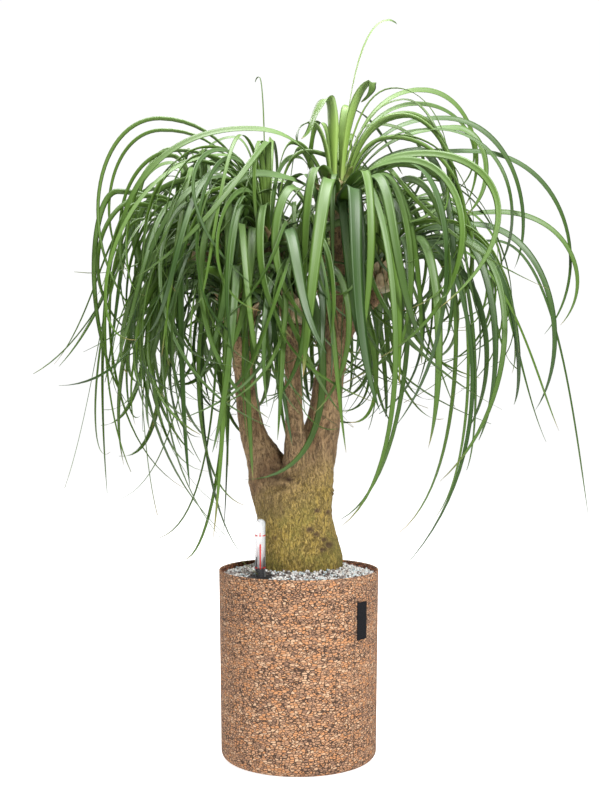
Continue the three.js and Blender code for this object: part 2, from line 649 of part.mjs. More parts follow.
// The leaf's middle line and its left and right edges at the given stations.
function leafStations(head, leaf, stations) {
  const turn = radians(leaf.bearing);
  const place = u => {
    const [reach, side, rise] = archPoint(leaf, u);
    return new THREE.Vector3(
      head.at[0] + reach * Math.cos(turn) - side * Math.sin(turn),
      head.at[1] + reach * Math.sin(turn) + side * Math.cos(turn),
      head.at[2] + HEART_RISE + rise,
    );
  };
  const sideways = new THREE.Vector3(-Math.sin(turn), Math.cos(turn), 0);
  return stations.map(u => {
    const middle = place(u);
    const run = place(Math.min(2, u + 0.01)).sub(place(Math.max(0, u - 0.01))).normalize();
    const across = sideways.clone().addScaledVector(run, -sideways.dot(run)).normalize();
    const part = clamp(u / 1.3, 0, 1);
    across.applyAxisAngle(run, radians(leaf.twist) * part * part * (3 - 2 * part));
    const above = run.clone().cross(across);
    const swell = lerp(0.4, 1, clamp(u / 0.45, 0, 1));
    const width = leaf.width * swell * Math.pow(1 - Math.pow(u / 2, TAPER_ONSET), TAPER_SHAPE);
    const depth = Math.max(LEAF_LEAST_KEEL, LEAF_KEEL * width);
    return {
      middle,
      above,
      width,
      keel: middle.clone().addScaledVector(above, -depth),
      left: middle.clone().addScaledVector(across, width / 2),
      right: middle.clone().addScaledVector(across, -width / 2),
    };
  });
}

// Which head has a leaf in each cell of the space round the crown: 0 none, 1 to 7 the
// heads, SOLID the trunk, the gauge and the clearings.
const CELLS_WIDE = Math.round(2 * CLEAR_REACH / CLEAR_CELL);
const CELLS_HIGH = Math.round((CLEAR_TOP - LEAF_LOWEST) / CLEAR_CELL);
const SOLID = 99;
const cells = new Int8Array(CELLS_WIDE * CELLS_WIDE * CELLS_HIGH);

function cellOf(x, y, z) {
  const i = Math.floor((x + CLEAR_REACH) / CLEAR_CELL);
  const j = Math.floor((y + CLEAR_REACH) / CLEAR_CELL);
  const k = Math.floor((z - LEAF_LOWEST) / CLEAR_CELL);
  const inside = i > 0 && j > 0 && k > 0
    && i < CELLS_WIDE - 1 && j < CELLS_WIDE - 1 && k < CELLS_HIGH - 1;
  return inside ? (k * CELLS_WIDE + j) * CELLS_WIDE + i : -1;
}

function fillSphere(x, y, z, radius, owner) {
  const steps = Math.ceil(radius / CLEAR_CELL);
  for (let a = -steps; a <= steps; a += 1) {
    for (let b = -steps; b <= steps; b += 1) {
      for (let c = -steps; c <= steps; c += 1) {
        const cell = cellOf(x + a * CLEAR_CELL, y + b * CLEAR_CELL, z + c * CLEAR_CELL);
        if (cell >= 0 && a * a + b * b + c * c <= steps * steps) {
          cells[cell] = owner;
        }
      }
    }
  }
}

function fillAlong(stations, spare, owner) {
  for (let i = 0; i < stations.length - 1; i += 1) {
    const [from, to] = [stations[i], stations[i + 1]];
    const length = vec(from).distanceTo(vec(to));
    const steps = Math.ceil(length / CLEAR_CELL);
    for (let k = 0; k <= steps; k += 1) {
      const [x, y, z, radius] = from.map((value, n) => lerp(value, to[n], k / steps));
      fillSphere(x, y, z, radius + spare, owner);
    }
  }
}

function fillBox([lowX, lowY, lowZ], [highX, highY, highZ], owner) {
  for (let x = lowX; x < highX; x += CLEAR_CELL) {
    for (let y = lowY; y < highY; y += CLEAR_CELL) {
      for (let z = lowZ; z < highZ; z += CLEAR_CELL) {
        const cell = cellOf(x, y, z);
        if (cell >= 0) {
          cells[cell] = owner;
        }
      }
    }
  }
}

// Points spread over the leaf between its stations, at half the size of a cell.
function footprint(rings) {
  const points = [];
  for (let i = 0; i < rings.length - 1; i += 1) {
    const [from, to] = [rings[i], rings[i + 1]];
    const steps = Math.ceil(2 * from.middle.distanceTo(to.middle) / CLEAR_CELL);
    const lanes = 2 * Math.ceil(from.width / CLEAR_CELL);
    for (let k = 0; k < steps; k += 1) {
      const left = from.left.clone().lerp(to.left, k / steps);
      const right = from.right.clone().lerp(to.right, k / steps);
      for (let lane = 0; lane <= lanes; lane += 1) {
        points.push(left.clone().lerp(right, lane / lanes));
      }
      points.push(from.keel.clone().lerp(to.keel, k / steps));
    }
  }
  return points;
}

function hasClearWay(points, heart, headNumber) {
  return points.every(point => {
    const cell = cellOf(point.x, point.y, point.z);
    if (cell < 0) {
      return false;
    }
    const owner = cells[cell];
    const nearHeart = point.distanceTo(heart) < ROOT_BUNDLE;
    return owner === 0 || (nearHeart && owner === headNumber);
  });
}

function takeWay(points, headNumber) {
  for (const point of points) {
    const cell = cellOf(point.x, point.y, point.z);
    if (cells[cell] === 0) {
      cells[cell] = headNumber;
    }
  }
}

// Puts the leaf where it crosses none that is already there, bending it aside if need be.
function placeLeaf(head, headNumber, leaf, next, boldness) {
  const heart = new THREE.Vector3(head.at[0], head.at[1], head.at[2] + HEART_RISE);
  for (let attempt = 0; attempt < MOST_TRIES; attempt += 1) {
    const bent = attempt === 0 ? leaf : bentAside(leaf, next, boldness * attempt / MOST_TRIES);
    const rings = leafStations(head, bent, BLADE_STATIONS);
    const points = footprint(rings);
    if (hasClearWay(points, heart, headNumber)) {
      takeWay(points, headNumber);
      return rings;
    }
  }
  return null;
}

// Splits a four-cornered face along the diagonal that stands further out of the blade.
function outwardSplit(points, a, b, c, d, inside) {
  const middle = (i, j) => vec(points[i]).add(vec(points[j])).multiplyScalar(0.5);
  const acrossAC = middle(a, c).distanceTo(inside);
  const acrossBD = middle(b, d).distanceTo(inside);
  return acrossAC >= acrossBD ? [[a, b, c], [a, c, d]] : [[a, b, d], [b, c, d]];
}

// A blade with a flat upper face and a shallow keel below, drawn out to a point.
function bladeSolid(rings) {
  const points = [];
  const triangles = [];
  rings.slice(0, -1).forEach(({ left, right, keel }) => {
    points.push(left.toArray(), right.toArray(), keel.toArray());
  });
  const sections = rings.length - 1;
  for (let i = 0; i < sections - 1; i += 1) {
    const inside = rings[i].middle.clone().add(rings[i + 1].middle).multiplyScalar(0.5)
      .addScaledVector(rings[i].above, -LEAF_LEAST_KEEL / 2);
    for (let k = 0; k < 3; k += 1) {
      const a = 3 * i + k;
      const b = 3 * i + (k + 1) % 3;
      triangles.push(...outwardSplit(points, a, b, b + 3, a + 3, inside));
    }
  }
  const tip = points.length;
  points.push(rings[sections].middle.toArray());
  const last = 3 * (sections - 1);
  triangles.push([0, 2, 1]);
  for (let k = 0; k < 3; k += 1) {
    triangles.push([last + k, last + (k + 1) % 3, tip]);
  }
  const blade = solidFromTriangles(points, triangles);
  const turnedOut = () => solidFromTriangles(points, triangles.map(([a, b, c]) => [a, c, b]));
  return blade.volume() > 0 ? blade : turnedOut();
}

// The packed leaf bases of a head, standing on the end of its limb.
function heartSolid(head) {
  const bottom = head.at[2] + GAP;
  return turned([
    [0, bottom],
    [HEART_RADIUS * 0.75, bottom],
    [HEART_RADIUS, bottom + 12],
    [HEART_RADIUS, bottom + HEART_SHOULDER],
    [HEART_RADIUS * 0.7, bottom + 75],
    [0, bottom + HEART_HEIGHT],
  ], 10).translate([head.at[0], head.at[1], 0]);
}

function growCrowns() {
  const heads = Object.entries(HEADS);
  heads.forEach(([, { at: [x, y, z] }], index) => {
    const shoulder = [x, y, z + HEART_SHOULDER, HEART_RADIUS];
    const bud = [x, y, z + HEART_HEIGHT, HEART_RADIUS / 3];
    fillAlong([[x, y, z, HEART_RADIUS], shoulder, bud], 2, index + 1);
  });
  Object.values(LIMBS).forEach(stations => fillAlong(stations, 2, SOLID));
  const gaugeLine = [LEAF_LOWEST, TUBE_TOP].map(z => [GAUGE_X, GAUGE_Y, z, GAUGE_BERTH]);
  fillAlong(gaugeLine, 0, SOLID);
  const blades = heads.map(() => []);
  heads.forEach(([name, head], index) => {
    SHAPED_LEAVES[name].forEach((row, rank) => {
      const next = draws(1000 * (index + 1) + 500 + rank);
      const rings = placeLeaf(head, index + 1, asLeaf(row), next, 0.6);
      if (rings) {
        blades[index].push(bladeSolid(rings));
      }
    });
  });
  CLEARINGS.forEach(([low, high]) => fillBox(low, high, SOLID));
  const mostGrown = Math.max(...heads.map(([, head]) => head.grown));
  for (let rank = 0; rank < mostGrown; rank += 1) {
    heads.forEach(([, head], index) => {
      if (rank < head.grown) {
        const next = draws(1000 * (index + 1) + rank);
        const rings = placeLeaf(head, index + 1, grownLeaf(head, rank, next), next, 1);
        if (rings) {
          blades[index].push(bladeSolid(rings));
        }
      }
    });
  }
  heads.forEach(([name, head], index) => {
    const crown = Manifold.union([heartSolid(head), ...blades[index]]);
    addPiece(`crown_${name}`, crown, 0x6f8f4e, 0.6);
  });
}

// ---------- The whole ----------

addPiece('planter_shell', planterShell(), 0xc08a5c, 0.9);
addPiece('label_tag', labelTag(), 0x15161a, 0.6);
addPiece('insert_liner', insertLiner(), 0x17181a, 0.6);
addPiece('substrate', substrate(), 0xb9b4ab, 0.95);
addPiece('gauge_shaft', gaugeShaft(), 0x141416, 0.5);
addPiece('gauge_tube', gaugeTube(), 0xe8eef0, 0.1, { transparent: true, opacity: 0.4 });
addPiece('gauge_float', gaugeFloat(), 0xc4201c, 0.5);
addPiece('trunk', trunk(), 0xa5825f, 0.9);
growCrowns();

export default group;
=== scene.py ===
"""Potted ponytail palm: leaves, trunk, granules, water gauge and cork-faced planter.

The sizes, the limbs and the leaves repeat the part's own, in millimetres, so that each
fine leaf lies on its plain one. Meshes are in metres.
"""

import math
import random
from collections import namedtuple
from functools import lru_cache

import bmesh
import bpy
import numpy as np
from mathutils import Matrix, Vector, noise


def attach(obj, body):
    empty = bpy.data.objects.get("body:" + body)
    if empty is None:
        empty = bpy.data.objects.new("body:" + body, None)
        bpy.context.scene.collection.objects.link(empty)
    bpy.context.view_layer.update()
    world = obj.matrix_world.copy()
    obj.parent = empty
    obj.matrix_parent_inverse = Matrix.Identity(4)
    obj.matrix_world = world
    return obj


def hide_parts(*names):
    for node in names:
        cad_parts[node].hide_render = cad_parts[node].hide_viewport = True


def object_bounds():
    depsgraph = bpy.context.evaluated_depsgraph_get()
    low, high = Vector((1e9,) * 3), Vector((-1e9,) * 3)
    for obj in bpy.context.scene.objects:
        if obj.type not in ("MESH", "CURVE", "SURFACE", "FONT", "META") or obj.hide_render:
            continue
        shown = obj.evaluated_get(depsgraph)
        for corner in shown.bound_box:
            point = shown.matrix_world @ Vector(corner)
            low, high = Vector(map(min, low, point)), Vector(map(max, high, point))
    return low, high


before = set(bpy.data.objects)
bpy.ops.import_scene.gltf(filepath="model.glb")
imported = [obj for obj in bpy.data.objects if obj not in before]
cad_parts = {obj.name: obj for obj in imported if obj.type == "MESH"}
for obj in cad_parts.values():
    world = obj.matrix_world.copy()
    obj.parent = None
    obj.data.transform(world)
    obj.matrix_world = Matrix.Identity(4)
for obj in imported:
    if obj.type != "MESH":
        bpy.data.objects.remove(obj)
cad_low, cad_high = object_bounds()

MM = 0.001
HOLDER, FLOAT = "holder", "float"

# ---------- Sizes, as in the part (mm) ----------

PLANTER_HEIGHT = 397
PLANTER_TOP_RADIUS = 170
PLANTER_BASE_RADIUS = 165
PLANTER_WALL = 4
PLANTER_FLOOR = 6
PLANTER_BOTTOM_ROUND = 14
PLANTER_RIM_ROUND = 1.5

TAG_WIDTH = 31
TAG_HEIGHT = 77
TAG_THICKNESS = 1.2
TAG_CENTRE_HEIGHT = 306
TAG_BEARING = 49.7
SEAM_BEARING = 42.3

GRANULES_EDGE_HEIGHT = 385
GRANULES_HEAP = 17
GRANULE_SIZE = 5.2
GRANULE_COUNT = 3600

GAUGE_X = -79
GAUGE_Y = -98
SHAFT_OUTER_RADIUS = 15
PLATE_RADIUS = 27
PLATE_UNDERSIDE = 388
PLATE_THICKNESS = 5.5
COLLAR_RADIUS = 9
COLLAR_BORE_RADIUS = 6
COLLAR_TOP = 410
COLLAR_TONGUE_TOP = 434
COLLAR_TONGUE_WIDTH = 8
TUBE_OUTER_RADIUS = 10.8
TUBE_WALL = 1.4
TUBE_TOP = 512.9
HIGH_MARK = 478.8
LOW_MARK = 413.2
FLOAT_RADIUS = 12.2
FLOAT_LENGTH = 60
FLOAT_UNDERSIDE = 66
ROD_RADIUS = 1.8
ROD_TOP = 460.5

HEART_RISE = 45
HEART_RADIUS = 30
HEART_SHOULDER = 45
HEART_HEIGHT = 92
LEAF_KEEL = 0.11
LEAF_LEAST_KEEL = 1.3
CLEAR_CELL = 4
CLEAR_REACH = 648.3
CLEAR_TOP = 1612
LEAF_LOWEST = 412
ROOT_BUNDLE = 75
MOST_TRIES = 150
TAPER_ONSET = 5                   # the higher, the nearer its tip a leaf narrows
TAPER_SHAPE = 0.75
UPRIGHT_RISE = 300                # a crest this high above the heart is a young leaf's
ROOT_LOWEST = -30                 # root of a hanging leaf, from the heart
ROOT_HIGHEST = 28                 # root of a young leaf
ROOT_NEAREST = 6                  # from the heart's middle
GROWN_REACH = 60                  # crest of the youngest leaf, and what age adds
GROWN_REACH_MORE = 230
GROWN_RISE = 20                   # crest of the oldest leaf, and what youth adds
GROWN_RISE_MORE = 205
GROWN_BELLY = 80                  # belly beyond the crest, and what age adds
GROWN_BELLY_MORE = 420
GROWN_SIDE_SPREAD = 600
GROWN_YOUNG_DROP = -110
GROWN_WIDTH = 10
GROWN_WIDTH_MORE = 8
GROWN_TWIST_SPREAD = 170
GOLDEN_ANGLE = 137.508
YOUNGEST_GROWN = 0.12             # age of the youngest leaf grown by rule
SHAPED_BEND = 0.6                 # how far a leaf is bent aside at most, of all that it may
GROWN_BEND = 1
HEAD_SEED = 1000
SHAPED_SEED = 500
FINE_SEED = 700
DRAW_SPAN = 2 ** 32
DRAW_SEED_FACTOR = 2654435761
DRAW_FACTOR = 1664525
DRAW_STEP = 1013904223
BLADE_STATIONS = (0, 0.45, 0.85, 1.2, 1.5, 1.77, 2)

# Limbs as [x, y, z, radius] stations, thick end first.
LIMBS = {
    "base": [[3, 0, 394, 89], [2, 0, 410, 92], [-2, 0, 440, 89], [-8, 0, 485, 82],
             [-12, 0, 530, 77], [-18, 0, 575, 72], [-22, 0, 612, 54]],
    "left": [[-30, 4, 500, 56], [-58, 4, 590, 50], [-76, 3, 635, 37], [-91, 2, 668, 30],
             [-102, 1, 706, 26], [-110, 1, 752, 24], [-115, 2, 808, 22], [-118, 0, 870, 20],
             [-115, -2, 925, 20]],
    "leftFront": [[-117, -2, 895, 20], [-98, -22, 975, 20], [-65, -40, 1045, 22]],
    "leftOuter": [[-117, 0, 895, 20], [-148, 10, 965, 20], [-207, 30, 1045, 22]],
    "leftLow": [[-118, 0, 800, 16], [-124, -34, 850, 17], [-124, -72, 900, 19]],
    "middle": [[-2, -24, 540, 42], [-6, -38, 624, 28], [-9, -50, 700, 20],
               [-11, -58, 765, 19], [-11, -65, 840, 18], [-8, -72, 915, 20]],
    "right": [[6, 6, 500, 60], [18, 6, 590, 58], [36, 6, 645, 46], [50, 6, 700, 37],
              [60, 6, 760, 33], [66, 6, 808, 31], [82, 4, 870, 27], [90, 2, 930, 24],
              [94, 0, 985, 23]],
    "rightFront": [[94, -2, 960, 23], [95, -16, 1010, 22], [90, -40, 1070, 22], [82, -60, 1130, 22]],
    "rightOuter": [[86, 4, 890, 24], [120, 18, 940, 21], [170, 40, 990, 21]],
    "back": [[80, 10, 880, 23], [72, 66, 945, 21], [60, 150, 1015, 22]],
    "stub": [[100, 0, 915, 17], [112, -5, 935, 15], [122, -8, 949, 12]],
}

Head = namedtuple("Head", "at grown reach hang bearing")
HEADS = {
    "main": Head((82, -60, 1130), 58, 1.0, 390, 15),
    "left_front": Head((-65, -40, 1045), 54, 0.92, 420, 80),
    "left_outer": Head((-207, 30, 1045), 32, 0.72, 450, 140),
    "right": Head((170, 40, 990), 42, 0.95, 340, 200),
    "back": Head((60, 150, 1015), 42, 1.0, 380, 260),
    "centre": Head((-8, -72, 915), 30, 0.66, 240, 320),
    "left_low": Head((-124, -72, 900), 32, 0.7, 300, 20),
}

# Room that the grown leaves leave free: before the fork, and below, above and before the crown.
CLEARINGS = [
    [[-135, -440, 412], [95, -62, 700]],
    [[95, -640, 412], [640, 640, 690]],
    [[-640, -640, 412], [-135, 640, 560]],
    [[-640, -640, 1345], [130, 640, 1612]],
    [[30, -640, 1215], [130, -90, 1345]],
    [[-110, -640, 700], [215, -255, 1320]],
]

# A leaf's bearing, the reach and rise of its crest, the reach of its belly, the reach, side
# step and drop of its tip, its width and twist. Hook is how far down the arch its belly
# lies, and sway how far it leans to the tip's side.
Leaf = namedtuple(
    "Leaf", "bearing crest_reach crest_rise belly tip_reach tip_side tip_drop width twist sway hook",
    defaults=(0.15, 0.66))
SHAPED_LEAVES = {
    "main": [
        [8, 108, 380, 122, 126, 0, -372, 6, 60],
        [-80, 145, 0, 215, 245, 30, 440, 32, -15, -0.8],
        [-100, 100, 25, 220, 225, -35, 375, 28, -10, 0.7],
        [-120, 80, 55, 150, 175, 20, 225, 26, 10],
        [-85, 50, 50, 110, 120, -15, 190, 13, 0],
        [-30, 100, 35, 195, 205, -35, 345, 22, 20],
        [-14, 165, 95, 260, 230, -35, 295, 18, 60],
        [-52, 115, -40, 200, 220, -30, 390, 24, 0],
        [-140, 28, 208, 62, 100, 0, -112, 32, 0],
        [-150, 67, 164, 100, 89, 0, -105, 22, 0],
        [-40, 88, 230, 92, 60, 0, -195, 26, 0],
        [150, 45, 168, 66, 72, 0, -70, 24, 0],
        [50, 34, 203, 190, 240, 0, -90, 20, 30],
        [18, 200, 245, 355, 300, 25, 0, 14, 75],
        [28, 220, 225, 390, 325, 25, -55, 13, 70],
        [10, 235, 180, 440, 390, 10, 135, 14, 75],
        [-3, 265, 150, 350, 275, -40, 40, 16, 70],
        [11, 300, 115, 580, 470, 15, 275, 13, 75],
        [-90, 125, 35, 200, 170, -20, 300, 20, 0, 0.2],
        [-66, 130, 30, 230, 200, 75, 350, 22, 35, -0.4],
        [-112, 135, 5, 235, 215, 70, 330, 20, -30, -0.5],
        [-42, 120, 40, 235, 190, -70, 330, 20, 15, -0.6],
        [-70, 130, 10, 270, 223, -90, 650, 14, 20, -0.9, 0.8],
        [-85, 60, -10, 115, 100, 30, 300, 20, 0],
        [-62, 70, -15, 135, 110, -20, 340, 20, 10],
        [-32, 80, -5, 160, 140, 10, 320, 18, 0],
        [-48, 95, 10, 160, 130, 40, 380, 18, 0],
    ],
    "left_front": [
        [150, 22, 350, 30, 32, 0, -340, 5, 0],
        [-175, 225, 255, 415, 245, 0, 185, 9, 75],
        [170, 235, 245, 390, 310, -15, 60, 8, 75],
        [-82, 140, 10, 255, 280, 45, 240, 26, 10, -0.6],
        [-102, 105, 15, 190, 170, -45, 250, 22, -10, -0.5],
        [-120, 25, 190, 70, 85, -25, 45, 20, 0],
        [-126, 100, 120, 195, 195, -10, 275, 20, 20],
        [-58, 95, 150, 170, 195, -20, 195, 18, 0],
        [161, 120, 180, 265, 250, 5, 180, 14, 60],
        [-92, 110, 60, 210, 190, 60, 215, 20, 20, -0.5],
        [-72, 120, 30, 230, 215, -60, 290, 20, 25, -0.4],
        [-112, 120, 60, 225, 190, -70, 300, 19, -20, -0.5],
        [-140, 130, 80, 230, 235, 15, 260, 20, 30],
        [-170, 150, 165, 290, 230, 20, 150, 11, 50],
        [174, 190, 200, 340, 300, -20, 60, 9, 60],
        [-158, 130, 130, 250, 260, 20, 240, 12, 40],
        [-146, 150, 165, 270, 230, 30, 180, 10, 40],
        [-165, 175, 105, 310, 280, -30, 260, 12, 30],
        [158, 150, 145, 290, 260, 20, 160, 11, 50],
    ],
    "left_outer": [
        [176, 150, 60, 235, 325, 10, 255, 6, 40],
        [-160, 120, 90, 225, 300, 20, 515, 7, 30],
        [-170, 180, 115, 265, 165, 15, 335, 13, 75],
        [-144, 155, 75, 270, 190, 30, 480, 13, 60],
        [-119, 160, 75, 265, 235, 50, 560, 14, 40],
        [-98, 160, 95, 245, 270, 35, 500, 18, 10],
        [150, 80, 140, 180, 150, -30, 170, 10, 50],
        [-76, 155, 85, 240, 275, -5, 520, 16, 10],
        [-120, 150, 30, 240, 120, 190, 640, 13, 20, -0.5],
    ],
    "right": [
        [4, 260, 70, 440, 478, 15, 535, 9, 60],
        [0, 265, 130, 480, 400, 20, 115, 13, 75],
        [-17, 200, 95, 425, 335, 35, 300, 16, 60],
        [-39, 160, 85, 330, 250, 5, 360, 18, 40],
        [-65, 145, 60, 280, 240, -25, 375, 22, 10],
        [-60, 140, 55, 300, 226, -128, 582, 14, 10, -0.62],
        [-43, 205, 50, 400, 230, -85, 440, 14, 50],
        [-50, 130, 60, 235, 115, -80, 600, 14, 20, -0.4, 0.8],
    ],
    "back": [
        [60, 190, 250, 360, 260, 30, 120, 15, 20],
        [100, 200, 210, 350, 290, -40, 260, 17, 0],
        [140, 190, 230, 370, 270, 30, 160, 15, 20],
        [80, 150, 100, 300, 240, 20, 430, 20, 0],
        [120, 150, 90, 280, 210, -30, 430, 20, 0],
    ],
    "centre": [
        [-97, 80, 75, 170, 185, -10, 280, 15, 0],
        [-69, 85, 75, 185, 205, 25, 300, 15, 0],
        [-130, 80, 60, 185, 180, 35, 290, 13, 20],
        [-85, 95, 60, 180, 150, -60, 200, 16, 20, -0.6],
        [-110, 85, 70, 175, 120, 60, 235, 15, 20, -0.6],
        [-60, 90, 70, 180, 130, -70, 240, 15, 30, -0.6],
        [-65, 60, 20, 115, 45, -130, 362, 18, 20, -0.7, 1],
    ],
    "left_low": [
        [-140, 110, 90, 250, 230, 60, 330, 15, 30],
        [-95, 90, 80, 190, 170, -50, 300, 18, 0],
        [-60, 70, 60, 160, 120, 60, 280, 16, 0],
        [180, 120, 70, 270, 250, -70, 330, 14, 50],
        [-130, 100, 80, 220, 84, 99, 499, 12, 20, -0.6],
        [-80, 50, 15, 90, 70, 20, 352, 16, 10, 0.4],
        [-105, 55, 20, 85, 70, 0, 322, 14, 0, 0.3],
        [-125, 90, 30, 150, 60, 60, 400, 13, 10, -0.5, 0.9],
    ],
}

# ---------- Sizes that only the looks need ----------

# Slighter leaves that fill out each head: how many, the bearing they face and its spread.
FINE_LEAVES = {"main": (24, 0, 240), "left_front": (34, 185, 170), "left_outer": (24, 180, 220),
               "right": (20, 0, 200), "back": (20, 90, 240), "centre": (20, -90, 240),
               "left_low": (26, 200, 220)}
FINE_SHARING = 0.25               # how much of a slighter leaf may cross others
BOX_SPARE = 6                     # how far slighter leaves may pass the part's front and back

# Slim leaves that trail below the crown, in the same rows as the shaped ones.
TRAILING_LEAVES = {
    "left_outer": [
        [188, 130, 55, 250, 44, 85, 517, 10, 40, 0.15, 0.8],
        [-150, 110, 50, 190, 29, 157, 553, 13, 30, 0.1, 0.8],
        [176, 150, 75, 235, 200, 44, 532, 10, 60, 0.1, 0.5],
    ],
    "left_low": [
        [205, 90, 60, 110, 242, -49, 389, 9, 40, 0, 0.9],
        [-120, 60, 50, 110, 146, -96, 465, 10, 20, -0.5, 0.9],
        [-130, 70, 40, 150, 33, 59, 516, 13, 10, 0.1, 0.8],
        [-95, 60, 40, 105, 77, -101, 511, 11, 20, 0.1, 0.95],
    ],
    "left_front": [[-120, 90, 40, 160, 130, -26, 602, 10, 20, -0.3, 0.9]],
    "right": [
        [-70, 120, 60, 215, 122, -133, 520, 12, 20, 0, 0.85],
        [-20, 150, 60, 235, 191, 27, 428, 11, 40, 0, 0.8],
        [-8, 190, 70, 300, 363, 41, 369, 9, 50, 0, 0.7],
        [-35, 150, 70, 260, 148, -18, 528, 9, 40, 0.2, 0.8],
    ],
}

# How pale the youngest leaves of each head are: those of the highest stand free.
YOUNG_SHOW = {"main": 0.85, "left_front": 0.35, "left_outer": 0.35, "right": 0.4, "back": 0.6,
              "centre": 0.3, "left_low": 0.3}
YOUNG_RISE = 210                  # crest of a leaf that is pale all over
YOUNG_REACH = 200                 # how fast leaves darken as they reach further out
# What a heart's surface says to the leaves' shader.
HEART_LOOK = {"across": 3.0, "along": 0.2, "under": 0.0, "tone": 0.1, "youth": 0.0, "dry": 0.5}
HEART_SIDES = 24
# The heart's outline: share of its radius, and height.
HEART_PROFILE = ((0, 0.3), (0.75, 0.3), (0.93, 6), (1, 14), (1.02, 30), (1, HEART_SHOULDER),
                 (0.88, 60), (0.68, 74), (0.35, 86), (0, HEART_HEIGHT))

SHEATHS = 34                      # old leaf bases round each heart
SHEATH_LOW = (-44, 8)             # foot of the lowest and of the highest, from the heart
SHEATH_WIDTH = (26, 17)           # width of the lowest and of the highest
SHEATH_TALL = (26, 44)            # least and most
SHEATH_FLARE = (8, 30)            # least and most that its end turns out
SHEATH_LINE = tuple(np.linspace(0, 2, 12))
BLADE_LINE = (*np.linspace(0, 1, 14), *np.linspace(1, 2, 30)[1:])
BLADE_LANES = np.array([-1, -0.55, 0, 0.55, 1])
BLADE_UNDERSIDE = (0, 0, 0, 0, 0, 1, 1, 1)    # which points of a ring lie on the underside
BLADE_THICKNESS = 0.7
BLADE_LEAST_WIDTH = 0.7
BLADE_WAVE = 0.05                 # rise of the long wave and of the edges' ruffle, of the width
BLADE_RUFFLE = 0.03
CHANNEL_DEPTH = 0.2               # at the root, and the least, of the width
CHANNEL_LEAST = 0.035

BARK_VOXEL = 3.4
BARK_SOFTENING = 14
LIMB_SIDES = 28
FOOT_SIDES = 48
# Stations of the foot down in the granules.
FOOT_IN_BED = [[3, 0, 302, 89], [3, 0, 332, 89], [3, 0, 362, 89], [3, 0, 392, 89]]
# How fine the relief of the bark is: across and up the trunk, in rounds a metre.
SWELL_FINE = 22
FISSURE_FINE = (75, 24)
GRAIN_FINE = (190, 80)
FOLD_FINE = (28, 105)
FOLD_SLANT = 12
# How deep it is, in metres.
BARK_SWELL = 0.0024
BARK_FISSURE = 0.0028
BARK_GRAIN = 0.0014
BARK_FOLD = 0.006
KNOT_LUMP = 0.008
KNOT_DENT = 0.0105
# Knots on the front of the trunk: x, z and size.
KNOTS = [(22, 488, 12), (36, 478, 9), (50, 466, 9), (60, 454, 13), (46, 446, 8), (36, 526, 9),
         (58, 520, 9), (-20, 590, 9), (70, 560, 7), (-48, 470, 6)]
# The skin that fills the bottom of the fork, and where the bark is folded below it.
FORK_WEB = [(-40, -2, 590, 26), (-42, -4, 615, 20), (-44, -5, 636, 13)]
FOLDS = {"x": -36, "z": 588, "wide": 42, "high": 48}

PLANTER_SIDES = 128
HOUSING_SIDES = 48
TUBE_SIDES = 64
ROD_SIDES = 32
TAG_BACK = 0.6                    # from the cork's face
TAG_COLUMNS = 14
TAG_EDGE = 0.35
# Which way is across the upright seam, where the cork's ends meet beside the tag.
SEAM_SIDE = (math.cos(math.radians(SEAM_BEARING)), math.sin(math.radians(SEAM_BEARING)))
INNER_CORK_FOOT = 370
HEAP_EDGE = 150                   # the granules rise from here towards the trunk
HEAP_RUN = 55                     # and reach their full height this far on
GRANULES_RIPPLE = 1.6
STREWN_SEED = 4
STONE_SIZES = (0.65, 1.2)         # shares of the usual size
STONE_STRETCH = (0.75, 1.15)
STONE_ROUGHNESS = 0.22
STONE_LIFT = (-0.6, 1.8)          # how deep and how high a stone lies in the bed
STREWN_FROM = 86                  # stones lie between these two distances from the middle
STREWN_TO = 163
SPARSE_FROM = 157                 # few stones lie on the liner's lip
SPARSE_SHARE = 0.75
TRUNK_BERTH = 91

GAUGE_BERTH = 14                  # room that leaves leave round the gauge
SHAFT_FOOT = 12
SHAFT_WALL = 2.5
PLATE_EDGE = 0.6
TUBE_SEAT = 1.5                   # the flat ring that the tube stands on, wider than the tube
TUBE_SEAT_RISE = 0.2
TUBE_FOOT_RISE = 0.3              # from the plate
DOME_END = 81                     # degrees of the dome before it closes in its tip
DOME_STEPS = 9
FLOAT_EDGE = 2
ROD_POINT = 0.8
TONGUE_THICK = (2.9, 0.9)         # at its foot and at its top
TONGUE_COLUMNS = 5
MARK_HALF = 1.1                   # half the height of a dash
MARK_THICK = 0.3
MARK_SUNK = 0.05                  # how deep a dash sits in the tube
MARK_STEPS = 6
MARK_SIDES = ((-75, -28), (28, 75))   # degrees from the front, at both levels
MARK_MIDDLE = (-12, 12)           # at the highest level only
MARK_POINTER = (-4, 4)            # an upright dash above it
MARK_POINTER_RISE = (1.6, 6.5)

WORLD_SEEN = 1.02                 # the white ground, where the camera sees it
WORLD_LIGHT = 0.21                # what it sheds on the plant
# Lamps: place, aim, size and power.
LAMPS = {
    "key": ((1.3, -2.3, 2.9), (0, 0, 0.8), 1.0, 140),
    "top": ((-0.4, -0.6, 3.6), (0, 0, 1.0), 1.4, 130),
    "rim": ((-1.4, 1.8, 2.6), (0, 0, 1.1), 1.2, 45),
}
FLOOR_HALF = 9
CAMERA_AWAY = 2.5
CAMERA_HEIGHT = 0.757
CAMERA_ASIDE = 0.0027
FOCAL_PIXELS = 1169
FRAME_HEIGHT = 800
SENSOR = 36


def lerp(a, b, t):
    return a + (b - a) * t


def clamp(value, low=0.0, high=1.0):
    return min(high, max(low, value))


# ---------- Shaders ----------

